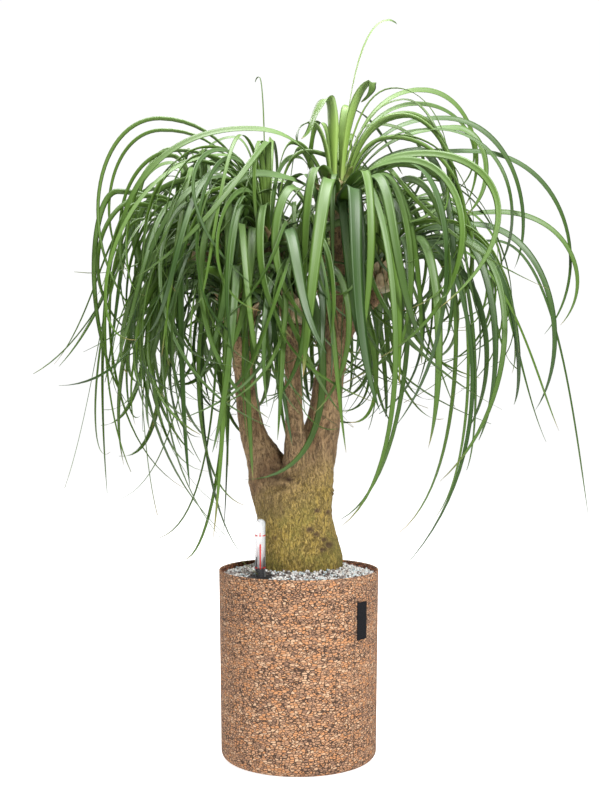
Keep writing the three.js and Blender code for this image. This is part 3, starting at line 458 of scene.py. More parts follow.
class Wire:
    """A shader value that takes Python's arithmetic."""

    def __init__(self, shader, socket):
        self.shader = shader
        self.socket = socket

    def _math(self, kind, *values):
        return self.shader.node("ShaderNodeMath", dict(enumerate(values)), operation=kind)

    def __add__(self, other):
        return self._math("ADD", self, other)

    def __radd__(self, other):
        return self._math("ADD", other, self)

    def __sub__(self, other):
        return self._math("SUBTRACT", self, other)

    def __rsub__(self, other):
        return self._math("SUBTRACT", other, self)

    def __mul__(self, other):
        return self._math("MULTIPLY", self, other)

    def __rmul__(self, other):
        return self._math("MULTIPLY", other, self)

    def absolute(self):
        return self._math("ABSOLUTE", self)

    def ramp(self, low, high):
        """0 below low, 1 above high, smooth between; falls where low is above high."""
        return self.shader.node(
            "ShaderNodeMapRange", {0: self, 1: low, 2: high, 3: 0.0, 4: 1.0},
            interpolation_type="SMOOTHSTEP")


class Shader:
    """A material or a world under construction."""

    def __init__(self, name, kept_with="materials"):
        self.made = getattr(bpy.data, kept_with).new(name)
        self.made.use_nodes = True
        self.tree = self.made.node_tree
        self.tree.nodes.clear()

    def node(self, kind, inputs=None, output=0, **settings):
        """A node with its settings, then the values and links of its sockets."""
        made = self.tree.nodes.new(kind)
        for name, value in settings.items():
            setattr(made, name, value)
        for key, value in (inputs or {}).items():
            socket = made.inputs[key]
            if isinstance(value, Wire):
                self.tree.links.new(value.socket, socket)
            elif socket.type == "RGBA" and not hasattr(value, "__len__"):
                socket.default_value = (value, value, value, 1.0)
            elif socket.type == "RGBA" and len(value) == 3:
                socket.default_value = (*value, 1.0)
            else:
                socket.default_value = value
        return Wire(self, made.outputs[output]) if made.outputs else None

    def place(self):
        return self.node("ShaderNodeTexCoord", output="Object")

    def stretched(self, vector, scale):
        return self.node("ShaderNodeVectorMath", {0: vector, 1: scale}, operation="MULTIPLY")

    def moved(self, vector, x, y, z):
        return self.node("ShaderNodeVectorMath", {0: vector, 1: self.vector(x, y, z)},
                         operation="ADD")

    def part_of(self, vector, axis):
        return self.node("ShaderNodeSeparateXYZ", {0: vector}, output=axis)

    def vector(self, x, y, z):
        return self.node("ShaderNodeCombineXYZ", {0: x, 1: y, 2: z})

    def attribute(self, name):
        return self.node("ShaderNodeAttribute", output="Fac", attribute_name=name)

    def noise(self, vector, scale, detail=3.0, roughness=0.55):
        return self.node("ShaderNodeTexNoise", {
            "Vector": vector, "Scale": scale, "Detail": detail, "Roughness": roughness})

    def blend(self, factor, a, b):
        return self.node("ShaderNodeMix", {0: factor, 6: a, 7: b}, output=2, data_type="RGBA")

    def bump(self, height, distance, strength=1.0):
        return self.node("ShaderNodeBump", {
            "Height": height, "Distance": distance, "Strength": strength})

    def finish(self, **surface):
        """Ends in one Principled shader; names are its sockets' with _ for a space."""
        inputs = {name.replace("_", " "): value for name, value in surface.items()}
        lit = self.node("ShaderNodeBsdfPrincipled", inputs)
        self.node("ShaderNodeOutputMaterial", {"Surface": lit})
        return self.made


def leaf_green():
    s = Shader("leaf_green")
    across, along = s.attribute("across"), s.attribute("along")
    tone, youth = s.attribute("tone"), s.attribute("youth")
    under, dry_share = s.attribute("under"), s.attribute("dry")
    veins = s.noise(s.vector(across * 1.1, along * 3.0, tone * 40.0), 1.0, 4.0, 0.7)
    cloud = s.noise(s.vector(across * 0.03, along * 5.0, tone * 70.0), 1.0, 2.0)
    deep, mid, pale = (0.015, 0.048, 0.003), (0.070, 0.140, 0.012), (0.160, 0.260, 0.060)
    green = s.blend((tone * 0.8 + cloud * 0.6 - 0.2).ramp(0.0, 1.0), deep, mid)
    green = s.blend((veins * 0.9 + youth * 0.3 - 0.4).ramp(0.0, 1.0), green, pale)
    # painted sheen: the upper faces turn a pale blue-green near the crest, where the arches face the
    # lamps above
    painted_crest_sheen = along.ramp(0.08, 0.30) * along.ramp(0.80, 0.40) * (1 - under) * cloud
    green = s.blend(painted_crest_sheen * 0.55, green, (0.190, 0.290, 0.160))
    # painted shade: the undersides are painted a darker green, for the shade below the arches
    green = s.blend(under * 0.7, green, (0.062, 0.128, 0.008))
    young = s.blend(along.ramp(0.15, 0.45), (0.305, 0.460, 0.095), (0.275, 0.400, 0.135))
    green = s.blend(youth * along.ramp(0.80, 0.35) * 0.85, green, young)
    green = s.blend(along.ramp(0.1, 0.0) * 0.5, green, (0.400, 0.430, 0.170))
    tip = (along + cloud * 0.1).ramp(1.0, 1.08) * tone.ramp(0.5, 0.7)
    straw = s.blend(veins.ramp(0.35, 0.65), (0.150, 0.095, 0.045), (0.480, 0.360, 0.180))
    colour = s.blend(tip, green, (0.360, 0.230, 0.095))
    colour = s.blend((dry_share + cloud * 0.6 - 0.3).ramp(0.2, 0.8), colour, straw)
    height = veins * 0.5 + across.absolute().ramp(0.0, 1.2) * 0.3
    return s.finish(
        Base_Color=colour, Roughness=0.40 + veins * 0.14 + tip * 0.3,
        Specular_IOR_Level=0.5, Normal=s.bump(height, 0.0006, 0.35))


def bark():
    s = Shader("bark")
    place = s.place()
    height, aside = s.part_of(place, "Z"), s.part_of(place, "X")
    streaks = s.noise(s.stretched(place, (1.0, 1.0, 0.14)), 150.0, 4.0, 0.6)
    mottle = s.noise(s.stretched(place, (1.0, 1.0, 0.6)), 140.0, 5.0, 0.68)
    patches = s.noise(place, 13.0, 4.0, 0.6)
    drift = s.moved(s.stretched(place, (1.0, 1.0, 0.3)),
                    patches * 0.05, mottle * 0.012, mottle * 0.02)
    grain = s.noise(s.stretched(place, (1.0, 1.0, 0.45)), 420.0, 3.0, 0.65)
    split = s.noise(s.stretched(drift, (1.0, 1.0, 0.8)), 190.0, 2.0, 0.5)
    cracks = (split - 0.5).absolute().ramp(0.045, 0.006) * mottle.ramp(0.42, 0.56)
    brown = s.blend(streaks.ramp(0.36, 0.64), (0.118, 0.070, 0.030), (0.355, 0.232, 0.112))
    brown = s.blend(grain.ramp(0.4, 0.66) * 0.6, brown, (0.420, 0.275, 0.150))
    brown = s.blend(patches.ramp(0.48, 0.62) * 0.55, brown, (0.185, 0.100, 0.044))
    brown = s.blend(cracks * 0.6, brown, (0.060, 0.034, 0.018))
    # painted shade: the creases of the folds turn dark brown
    brown = s.blend(s.attribute("fold") * 0.8, brown, (0.095, 0.050, 0.026))
    moss = s.blend(mottle.ramp(0.40, 0.58), (0.095, 0.064, 0.011), (0.385, 0.268, 0.054))
    moss = s.blend(grain.ramp(0.46, 0.66) * 0.8, moss, (0.560, 0.405, 0.125))
    moss = s.blend(patches.ramp(0.44, 0.62) * 0.5, moss, (0.190, 0.180, 0.030))
    moss = s.blend(cracks * 0.75, moss, (0.075, 0.048, 0.018))
    mossy = (height - aside * 0.45 + patches * 0.20 + mottle * 0.06).ramp(0.77, 0.63)
    knots = s.attribute("knot")
    colour = s.blend(mossy, brown, moss)
    colour = s.blend(knots * 0.8, colour, (0.085, 0.046, 0.030))
    relief = streaks * 0.4 + mottle * 0.5 + grain * 0.4 - cracks * 0.9
    return s.finish(Base_Color=colour, Roughness=0.84 + mottle * 0.1,
                    Normal=s.bump(relief, 0.004, 0.9))


def cork(name, light, warm, middle, dark, gap):
    """Pressed cork granules lying flat: one tint a granule, dark joints and an upright seam."""
    s = Shader(name)
    place = s.place()
    swim = s.noise(place, 160.0, 3.0)
    sway = s.noise(s.stretched(place, (1.0, 1.0, 1.6)), 90.0, 2.0)
    flat = s.stretched(place, (1.0, 1.0, 1.9))
    drift = s.moved(flat, swim * 0.006, sway * 0.006, swim * 0.005)
    grains = {"Vector": drift, "Scale": 128.0}
    edge = s.node("ShaderNodeTexVoronoi", grains, output="Distance", feature="DISTANCE_TO_EDGE")
    tint = s.part_of(s.node("ShaderNodeTexVoronoi", grains, output="Color"), 0)
    fine = s.noise(flat, 620.0, 3.0, 0.6)
    bands = s.noise(s.stretched(place, (1.0, 1.0, 7.0)), 7.0, 4.0, 0.6)
    body = s.blend(tint.ramp(0.02, 0.28), dark, middle)
    body = s.blend(tint.ramp(0.40, 0.60), body, warm)
    body = s.blend(tint.ramp(0.66, 0.95), body, light)
    body = s.blend(fine.ramp(0.5, 0.8) * 0.25, body, dark)
    joint = (edge + fine * 0.05 - bands.ramp(0.42, 0.66) * 0.05).ramp(0.14, 0.06)
    colour = s.blend(bands.ramp(0.50, 0.68) * 0.25, body, dark)
    colour = s.blend(joint * 0.95, colour, gap)
    off_seam = s.part_of(place, "X") * SEAM_SIDE[0] + s.part_of(place, "Y") * SEAM_SIDE[1]
    seam = off_seam.absolute().ramp(0.0009, 0.0004) * s.part_of(place, "Y").ramp(0.0, -0.01)
    colour = s.blend(seam * 0.8, colour, gap)
    relief = edge.ramp(0.0, 0.12) + fine * 0.25 + tint * 0.25 - seam
    return s.finish(Base_Color=colour, Roughness=0.88, Specular_IOR_Level=0.25,
                    Normal=s.bump(relief, 0.0015, 0.8))


def granule_stone():
    s = Shader("granule_stone")
    tone = s.attribute("tone")
    specks = s.noise(s.place(), 900.0, 3.0, 0.6)
    colour = s.blend(tone.ramp(0.14, 0.16), (0.150, 0.110, 0.095), (0.360, 0.325, 0.305))
    colour = s.blend(tone.ramp(0.36, 0.38), colour, (0.640, 0.600, 0.550))
    colour = s.blend(tone.ramp(0.58, 0.60), colour, (0.560, 0.660, 0.680))
    colour = s.blend(tone.ramp(0.74, 0.76), colour, (0.820, 0.810, 0.790))
    colour = s.blend(specks.ramp(0.56, 0.74) * 0.4, colour, (0.300, 0.270, 0.250))
    return s.finish(Base_Color=colour, Roughness=0.9, Normal=s.bump(specks, 0.0008, 0.8))


def granule_bed():
    s = Shader("granule_bed")
    place = s.place()
    tint = s.part_of(s.node("ShaderNodeTexVoronoi", {"Vector": place, "Scale": 190.0},
                            output="Color"), 0)
    fine = s.noise(place, 700.0)
    colour = s.blend(tint, (0.070, 0.055, 0.048), (0.240, 0.220, 0.205))
    return s.finish(Base_Color=colour, Roughness=0.95, Normal=s.bump(tint + fine, 0.002))


def moulded(name, colour, roughness):
    s = Shader(name)
    grain = s.noise(s.place(), 1500.0, 2.0)
    wear = s.noise(s.place(), 45.0, 3.0)
    worn = tuple(min(1, 1.6 * part + 0.008) for part in colour)
    tint = s.blend(wear.ramp(0.35, 0.75) * 0.35, colour, worn)
    return s.finish(Base_Color=tint, Roughness=roughness + wear * 0.12, Specular_IOR_Level=0.3,
                    Normal=s.bump(grain, 0.0002, 0.4))


def clear_plastic():
    """Milky behind the rod, clear in front of it."""
    s = Shader("clear_plastic")
    haze = s.noise(s.stretched(s.place(), (1.0, 1.0, 0.3)), 160.0, 2.0)
    back = (s.part_of(s.place(), "Y") - GAUGE_Y * MM).ramp(-0.001, 0.005)
    return s.finish(Base_Color=(0.86, 0.88, 0.89), Roughness=0.06 + haze * 0.08,
                    Alpha=0.012 + haze * 0.02 + back * 0.75, Specular_IOR_Level=0.6)


def tag_cloth():
    s = Shader("tag_cloth")
    place = s.place()
    weave = s.node("ShaderNodeTexWave", {"Vector": place, "Scale": 700.0}, bands_direction="Z")
    threads = s.noise(s.stretched(place, (1.0, 1.0, 0.2)), 1800.0, 2.0)
    colour = s.blend(weave * 0.5 + threads * 0.5, (0.004, 0.004, 0.005), (0.014, 0.014, 0.017))
    return s.finish(Base_Color=colour, Roughness=0.9, Specular_IOR_Level=0.15,
                    Normal=s.bump(weave + threads, 0.0003, 0.6))


# ---------- Meshes ----------

def piece(name, points, faces, material, body, replaces=(), attributes=None, smooth=True):
    """A mesh piece from points in millimetres."""
    mesh = bpy.data.meshes.new(name)
    mesh.from_pydata((np.asarray(points, float) * MM).tolist(), [], faces)
    mesh.update()
    for key, values in (attributes or {}).items():
        layer = mesh.attributes.new(key, "FLOAT", "POINT")
        layer.data.foreach_set("value", np.asarray(values, np.float32))
    made = bpy.data.objects.new(name, mesh)
    bpy.context.scene.collection.objects.link(made)
    mesh.materials.append(material)
    mesh.polygons.foreach_set("use_smooth", [smooth] * len(mesh.polygons))
    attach(made, body)
    if replaces:
        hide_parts(*replaces)
    return made


def turned(profile, sides, start=(0, 0)):
    """Points and faces of a solid of revolution; the profile may end on the axis."""
    points, rings = [], []
    for radius, height in profile:
        if radius < 1e-6:
            rings.append([len(points)] * sides)
            points.append((start[0], start[1], height))
        else:
            rings.append(list(range(len(points), len(points) + sides)))
            points += [(start[0] + radius * math.cos(2 * math.pi * k / sides),
                        start[1] + radius * math.sin(2 * math.pi * k / sides), height)
                       for k in range(sides)]
    faces = []
    for low, high in zip(rings, rings[1:]):
        for k in range(sides):
            n = (k + 1) % sides
            corners = [low[k], low[n], high[n], high[k]]
            faces.append(list(dict.fromkeys(corners)))
    return points, faces


def skin(rings, sides, mirrored=False):
    """Faces between rings of points that follow one another, and one at each end."""
    faces = []
    for low in range(0, (rings - 1) * sides, sides):
        for k in range(sides):
            n = (k + 1) % sides
            near, *rest = (low + k, low + n, low + sides + n, low + sides + k)
            faces.append((near, *(rest[::-1] if mirrored else rest)))
    first = tuple(range(sides))
    last = tuple(range((rings - 1) * sides, rings * sides))
    return faces + ([first, last[::-1]] if mirrored else [first[::-1], last])


def joined(shells):
    """One list of points and one of faces from those of several shells."""
    points, faces = [], []
    for more, own in shells:
        faces += [tuple(corner + len(points) for corner in face) for face in own]
        points += more
    return points, faces


def arc(centre_radius, centre_height, radius, start, end, steps):
    turns = [math.radians(lerp(start, end, i / steps)) for i in range(steps + 1)]
    return [(centre_radius + radius * math.cos(a), centre_height + radius * math.sin(a))
            for a in turns]


def sharpen(made, degrees=35):
    """Keeps edges steeper than this sharp in the shading."""
    mesh = bmesh.new()
    mesh.from_mesh(made.data)
    for edge in mesh.edges:
        edge.smooth = len(edge.link_faces) < 2 or edge.calc_face_angle(0) < math.radians(degrees)
    mesh.to_mesh(made.data)
    mesh.free()


# ---------- Leaves ----------

def draws(seed):
    """Random shares of one, in the same order as the part's."""
    state = (seed * DRAW_SEED_FACTOR) % DRAW_SPAN

    def draw():
        nonlocal state
        state = (state * DRAW_FACTOR + DRAW_STEP) % DRAW_SPAN
        return state / DRAW_SPAN

    draw()
    draw()
    return draw


def grown_leaf(head, rank, draw):
    """A leaf given by rank alone, from young and upright to old and hanging."""
    age = lerp(YOUNGEST_GROWN, 1, (rank + 0.5) / head.grown)

    def vary(share):
        return 1 + share * (2 * draw() - 1)

    crest_reach = (GROWN_REACH + GROWN_REACH_MORE * age * (1.25 - age)) * vary(0.25)
    crest_rise = (GROWN_RISE + GROWN_RISE_MORE * (1 - age)) * vary(0.2)
    beyond = GROWN_BELLY + GROWN_BELLY_MORE * age * (1.15 - age)
    belly = (crest_reach + beyond) * vary(0.15)
    bearing = head.bearing + GOLDEN_ANGLE * rank + 24 * (draw() - 0.5)
    tip_reach = belly * head.reach * (0.3 + 0.65 * draw())
    tip_side = GROWN_SIDE_SPREAD * (draw() - 0.5)
    tip_drop = lerp(GROWN_YOUNG_DROP, head.hang, age ** 0.6) * vary(0.2)
    width = (GROWN_WIDTH + GROWN_WIDTH_MORE * draw()) * (0.8 + 0.35 * age)
    twist = GROWN_TWIST_SPREAD * (draw() - 0.5)
    hook = 0.55 + 0.6 * draw()
    sway = 1.5 * (draw() - 0.6)
    return Leaf(bearing, crest_reach * head.reach, crest_rise, belly * head.reach,
                tip_reach, tip_side, tip_drop, width, twist, sway, hook)


def bent_aside(leaf, draw, push):
    """The same leaf pushed aside, further on each new try."""
    def vary(share):
        return 1 + push * share * (2 * draw() - 1)

    bearing = leaf.bearing + push * 70 * (draw() - 0.5)
    crest_reach = leaf.crest_reach * vary(0.4)
    crest_rise = leaf.crest_rise * vary(0.3)
    belly = leaf.belly * vary(0.3)
    tip_reach = leaf.tip_reach * vary(0.35)
    tip_side = leaf.tip_side + push * 160 * (draw() - 0.5)
    tip_drop = leaf.tip_drop * vary(0.3)
    return Leaf(bearing, crest_reach, crest_rise, belly, tip_reach, tip_side, tip_drop,
                leaf.width, leaf.twist, leaf.sway, leaf.hook)


def arch_controls(leaf):
    """Reach, side and rise from the heart of the arch's rising and falling curves."""
    youth = clamp(leaf.crest_rise / UPRIGHT_RISE)
    root_reach = lerp(HEART_RADIUS - ROOT_NEAREST, ROOT_NEAREST, youth)
    root_rise = lerp(ROOT_LOWEST, ROOT_HIGHEST, youth)
    lift = leaf.crest_rise - root_rise
    fall = leaf.crest_rise + leaf.tip_drop
    return np.array([
        [root_reach, 0, root_rise],
        [root_reach + 0.12 * leaf.crest_reach, 0, root_rise + 0.6 * lift],
        [0.5 * leaf.crest_reach, 0, leaf.crest_rise],
        [leaf.crest_reach, 0, leaf.crest_rise],
        [leaf.crest_reach, 0, leaf.crest_rise],
        [lerp(leaf.crest_reach, leaf.belly, 0.75), 0, leaf.crest_rise],
        [leaf.belly, leaf.sway * leaf.tip_side, leaf.crest_rise - leaf.hook * fall],
        [leaf.tip_reach, leaf.tip_side, -leaf.tip_drop]])


@lru_cache
def curve_shares(stations):
    """How much each control counts at a station: u is 0 at the root, 1 at the crest, 2 at the tip."""
    u = np.array(stations)
    near = np.concatenate([u, np.minimum(2, u + 0.01), np.maximum(0, u - 0.01)])
    rising = near <= 1
    t = np.where(rising, near, near - 1)
    shares = np.stack([(1 - t) ** 3, 3 * (1 - t) ** 2 * t, 3 * (1 - t) * t * t, t ** 3], axis=1)
    return u, np.concatenate([shares * rising[:, None], shares * ~rising[:, None]], axis=1)


def unit(vectors):
    return vectors / np.sqrt((vectors * vectors).sum(1))[:, None]


Strip = namedtuple("Strip", "u middle across above width")


def leaf_strip(head, leaf, stations):
    return strip_along(head, leaf, arch_controls(leaf), stations)


def strip_along(head, leaf, controls, stations):
    u, shares = curve_shares(stations)
    turn = leaf.bearing * math.pi / 180
    cos, sin = math.cos(turn), math.sin(turn)
    facing = np.array([[cos, sin, 0], [-sin, cos, 0], [0, 0, 1]])
    places = shares @ controls @ facing + [head.at[0], head.at[1], head.at[2] + HEART_RISE]
    middle, ahead, behind = np.split(places, 3)
    run = unit(ahead - behind)
    sideways = np.array([-sin, cos, 0.0])
    across = unit(sideways - run * (run @ sideways)[:, None])
    part = np.clip(u / 1.3, 0, 1)
    angle = (leaf.twist * math.pi / 180 * part * part * (3 - 2 * part))[:, None]
    across = across * np.cos(angle) + np.cross(run, across) * np.sin(angle)
    above = np.cross(run, across)
    swell = lerp(0.4, 1, np.clip(u / 0.45, 0, 1))
    width = leaf.width * swell * (1 - (u / 2) ** TAPER_ONSET) ** TAPER_SHAPE
    return Strip(u, middle, across, above, width)


# Which head has a leaf in each cell: 0 none, 1 to 7 the heads, SOLID the trunk, the gauge
# and the room that is kept free.
CELLS_WIDE = round(2 * CLEAR_REACH / CLEAR_CELL)
CELLS_HIGH = round((CLEAR_TOP - LEAF_LOWEST) / CLEAR_CELL)
SOLID = 99
cells = np.zeros(CELLS_WIDE * CELLS_WIDE * CELLS_HIGH, np.int8)


def cells_of(points):
    """Cell numbers, -1 outside the space."""
    i = np.floor((points[:, 0] + CLEAR_REACH) / CLEAR_CELL).astype(int)
    j = np.floor((points[:, 1] + CLEAR_REACH) / CLEAR_CELL).astype(int)
    k = np.floor((points[:, 2] - LEAF_LOWEST) / CLEAR_CELL).astype(int)
    inside = ((i > 0) & (j > 0) & (k > 0) & (i < CELLS_WIDE - 1) & (j < CELLS_WIDE - 1)
              & (k < CELLS_HIGH - 1))
    return np.where(inside, (k * CELLS_WIDE + j) * CELLS_WIDE + i, -1)


def fill_along(stations, spare, owner):
    for start, end in zip(stations, stations[1:]):
        length = math.dist(start[:3], end[:3])
        steps = math.ceil(length / CLEAR_CELL)
        for k in range(steps + 1):
            x, y, z, radius = (lerp(a, b, k / steps) for a, b in zip(start, end))
            reach = math.ceil((radius + spare) / CLEAR_CELL)
            ball = np.mgrid[-reach:reach + 1, -reach:reach + 1, -reach:reach + 1].reshape(3, -1).T
            ball = ball[(ball * ball).sum(1) <= reach * reach]
            found = cells_of(np.array([x, y, z]) + ball * CLEAR_CELL)
            cells[found[found >= 0]] = owner


def fill_box(low, high, owner):
    axes = [np.arange(a, b, CLEAR_CELL) for a, b in zip(low, high)]
    found = cells_of(np.stack(np.meshgrid(*axes, indexing="ij"), axis=-1).reshape(-1, 3))
    cells[found[found >= 0]] = owner


def footprint(strip):
    """Points spread over the strip between its stations, at half the size of a cell."""
    half = strip.across * (strip.width / 2)[:, None]
    left, right = strip.middle + half, strip.middle - half
    depth = np.maximum(LEAF_LEAST_KEEL, LEAF_KEEL * strip.width)[:, None]
    keel = strip.middle - strip.above * depth
    chunks = []
    for i in range(len(strip.u) - 1):
        gap = strip.middle[i + 1] - strip.middle[i]
        steps = math.ceil(2 * math.sqrt(gap @ gap) / CLEAR_CELL)
        lanes = 2 * math.ceil(strip.width[i] / CLEAR_CELL)
        k = (np.arange(steps) / steps)[:, None]
        a = left[i] + (left[i + 1] - left[i]) * k
        b = right[i] + (right[i + 1] - right[i]) * k
        lane = (np.arange(lanes + 1) / lanes)[None, :, None]
        chunks.append((a[:, None] + (b - a)[:, None] * lane).reshape(-1, 3))
        chunks.append(keel[i] + (keel[i + 1] - keel[i]) * k)
    return np.concatenate(chunks)


def middle_line(strip):
    """A few of the footprint's points, for a quick first look."""
    gap = np.diff(strip.middle, axis=0)
    steps = np.ceil(2 * np.sqrt((gap * gap).sum(1)) / CLEAR_CELL)[:, None]
    k = np.floor(steps * np.array([0, 0.2, 0.4, 0.6, 0.8])) / steps
    return (strip.middle[:-1, None] + gap[:, None] * k[:, :, None]).reshape(-1, 3)


def has_clear_way(points, heart, head_number, sharing):
    """Whether at most this share of the points meets other leaves, and none the trunk or gauge."""
    found = cells_of(points)
    if found.min() < 0:
        return False
    owner = cells[found]
    apart = points - heart
    near = (apart * apart).sum(1) < ROOT_BUNDLE ** 2
    taken = (owner != 0) & ~(near & (owner == head_number))
    return taken.mean() <= sharing and not (owner == SOLID).any()


def place_leaf(head, head_number, leaf, draw, boldness, sharing=0.0):
    """The leaf, bent aside if need be until it crosses no more of the others than it may."""
    heart = np.array([head.at[0], head.at[1], head.at[2] + HEART_RISE], float)
    for attempt in range(MOST_TRIES):
        bent = leaf if attempt == 0 else bent_aside(leaf, draw, boldness * attempt / MOST_TRIES)
        strip = leaf_strip(head, bent, BLADE_STATIONS)
        if has_clear_way(middle_line(strip), heart, head_number, sharing):
            points = footprint(strip)
            if has_clear_way(points, heart, head_number, sharing):
                found = cells_of(points)
                cells[found[cells[found] == 0]] = head_number
                return bent
    return None


def fine_leaf(head, count, facing, spread, rank, draw):
    """A slighter leaf that fills out the head on its open side."""
    leaf = grown_leaf(head._replace(grown=count), rank, draw)
    return leaf._replace(bearing=facing + spread * (draw() - 0.5), tip_side=leaf.tip_side * 0.7,
                         width=leaf.width * lerp(0.6, 1, draw()))


def grow_leaves():
    """The part's own leaves in its own order, then the slighter and the trailing ones."""
    heads = list(HEADS.items())
    for number, (name, head) in enumerate(heads, 1):
        x, y, z = head.at
        shoulder = [x, y, z + HEART_SHOULDER, HEART_RADIUS]
        bud = [x, y, z + HEART_HEIGHT, HEART_RADIUS / 3]
        fill_along([[x, y, z, HEART_RADIUS], shoulder, bud], 2, number)
    for stations in LIMBS.values():
        fill_along(stations, 2, SOLID)
    gauge_way = [[GAUGE_X, GAUGE_Y, z, GAUGE_BERTH] for z in (LEAF_LOWEST, TUBE_TOP)]
    fill_along(gauge_way, 0, SOLID)
    leaves = {name: [] for name in HEADS}
    for number, (name, head) in enumerate(heads, 1):
        for rank, row in enumerate(SHAPED_LEAVES[name]):
            draw = draws(HEAD_SEED * number + SHAPED_SEED + rank)
            leaves[name].append(place_leaf(head, number, Leaf(*row), draw, SHAPED_BEND))
    for low, high in CLEARINGS:
        fill_box(low, high, SOLID)
    for rank in range(max(head.grown for head in HEADS.values())):
        for number, (name, head) in enumerate(heads, 1):
            if rank < head.grown:
                draw = draws(HEAD_SEED * number + rank)
                leaf = grown_leaf(head, rank, draw)
                leaves[name].append(place_leaf(head, number, leaf, draw, GROWN_BEND))
    front, back = cad_low[1] / MM - BOX_SPARE, cad_high[1] / MM + BOX_SPARE
    fill_box((-CLEAR_REACH, -CLEAR_REACH, LEAF_LOWEST), (CLEAR_REACH, front, CLEAR_TOP), SOLID)
    fill_box((-CLEAR_REACH, back, LEAF_LOWEST), (CLEAR_REACH, CLEAR_REACH, CLEAR_TOP), SOLID)
    for rank in range(max(count for count, _, _ in FINE_LEAVES.values())):
        for number, (name, head) in enumerate(heads, 1):
            if rank < FINE_LEAVES[name][0]:
                draw = draws(HEAD_SEED * number + FINE_SEED + rank)
                leaf = fine_leaf(head, *FINE_LEAVES[name], rank, draw)
                leaf = place_leaf(head, number, leaf, draw, GROWN_BEND, FINE_SHARING)
                leaves[name].append(leaf)
    for name, rows in TRAILING_LEAVES.items():
        leaves[name] += [Leaf(*row) for row in rows]
    return {name: [leaf for leaf in found if leaf] for name, found in leaves.items()}


def sheath(head, rank, draw):
    """A short old leaf base that clasps the heart and turns out at its end."""
    share = rank / SHEATHS
    low = lerp(*SHEATH_LOW, share) + 4 * draw()
    tall = lerp(*SHEATH_TALL, draw())
    flare = lerp(*SHEATH_FLARE, draw())
    radius = HEART_RADIUS - 3 + 2 * draw()
    leaf = Leaf(GOLDEN_ANGLE * rank, 0, 0, 0, 0, 0, 0, lerp(*SHEATH_WIDTH, share),
                24 * (draw() - 0.5))
    middle = [radius + 5, 0, low + 0.55 * tall]
    controls = np.array([
        [radius - 4, 0, low],
        [radius + 2, 0, low + 0.1 * tall],
        [radius + 4, 0, low + 0.35 * tall],
        middle,
        middle,
        [radius + 7, 0, low + 0.85 * tall],
        [radius + 7 + 0.4 * flare, 0, low + 1.1 * tall],
        [radius + 7 + flare, 0, low + 1.25 * tall]])
    return leaf, strip_along(head, leaf, controls, SHEATH_LINE)


def blade(leaf, strip, tone, youth, dry):
    """Points, faces and surface values of one channelled blade drawn out to a thread."""
    t = strip.u / 2
    phase = 40 * tone
    width = np.maximum(strip.width, BLADE_LEAST_WIDTH)
    wave = leaf.width * BLADE_WAVE * t * np.sin(phase + 9 * t + 3 * np.sin(5 * t + phase))
    ruffle = BLADE_RUFFLE * leaf.width * np.sin(23 * t + phase)[:, None] * BLADE_LANES
    channel = (CHANNEL_DEPTH * (1 - t) ** 1.5 + CHANNEL_LEAST)[:, None] * width[:, None]
    lift = channel * (np.abs(BLADE_LANES) ** 1.4 - 0.4)[None, :]
    lift += wave[:, None] + ruffle
    aside = BLADE_LANES[None, :, None] * width[:, None, None] / 2
    top = (strip.middle[:, None] + strip.across[:, None] * aside
           + strip.above[:, None] * lift[:, :, None])
    thick = (BLADE_THICKNESS * np.clip(width / 8, 0.5, 1.2))[:, None]
    bottom = top[:, 1:4] - strip.above[:, None] * thick[:, :, None]
    ring = np.concatenate([top, bottom[:, ::-1]], axis=1)
    rings, sides = ring.shape[:2]
    lanes = np.concatenate([BLADE_LANES, BLADE_LANES[3:0:-1]])
    values = {
        "across": (lanes[None, :] * width[:, None] / 2).ravel(),
        "along": np.repeat(t, sides),
        "under": np.tile(np.array(BLADE_UNDERSIDE, float), rings),
        "tone": np.full(rings * sides, tone),
        "youth": np.full(rings * sides, youth),
        "dry": np.full(rings * sides, dry),
    }
    return ring.reshape(-1, 3).tolist(), skin(rings, sides, mirrored=True), values


def heart(head):
    """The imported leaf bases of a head, round a bud."""
    x, y, z = head.at
    profile = [(HEART_RADIUS * share, z + rise) for share, rise in HEART_PROFILE]
    return turned(profile, HEART_SIDES, (x, y))


def crown(name, head, leaves, material):
    """One head: its heart, the old leaf bases round it and its leaves."""
    points, faces = heart(head)
    look = {key: np.full(len(points), value) for key, value in HEART_LOOK.items()}
    shells = [(points, faces, look)]
    rng = random.Random(name)
    for rank in range(SHEATHS):
        leaf, strip = sheath(head, rank, rng.random)
        shells.append(blade(leaf, strip, rng.random(), 0.2, lerp(1.0, 0.3, rank / SHEATHS)))
    for leaf in leaves:
        upright = clamp(leaf.crest_rise / YOUNG_RISE) * clamp(1.3 - leaf.crest_reach / YOUNG_REACH)
        strip = leaf_strip(head, leaf, BLADE_LINE)
        shells.append(blade(leaf, strip, rng.random(), YOUNG_SHOW[name] * upright, 0.0))
    points, faces = joined(shell[:2] for shell in shells)
    values = {key: np.concatenate([shell[2][key] for shell in shells]) for key in HEART_LOOK}
    return piece(f"leaves_{name}", points, faces, material, HOLDER, [f"crown_{name}"],
                 values)


# ---------- Trunk ----------

def smooth_path(stations, steps=5):
    """Catmull-Rom through the stations."""
    knots = np.array(stations, float)
    ends = np.vstack([2 * knots[0] - knots[1], knots, 2 * knots[-1] - knots[-2]])
    path = []
    for i in range(len(knots) - 1):
        a, b, c, d = ends[i:i + 4]
        for t in np.arange(steps) / steps:
            path.append(0.5 * (2 * b + (c - a) * t + (2 * a - 5 * b + 4 * c - d) * t * t
                               + (3 * b - a - 3 * c + d) * t ** 3))
    path.append(knots[-1])
    return np.array(path)


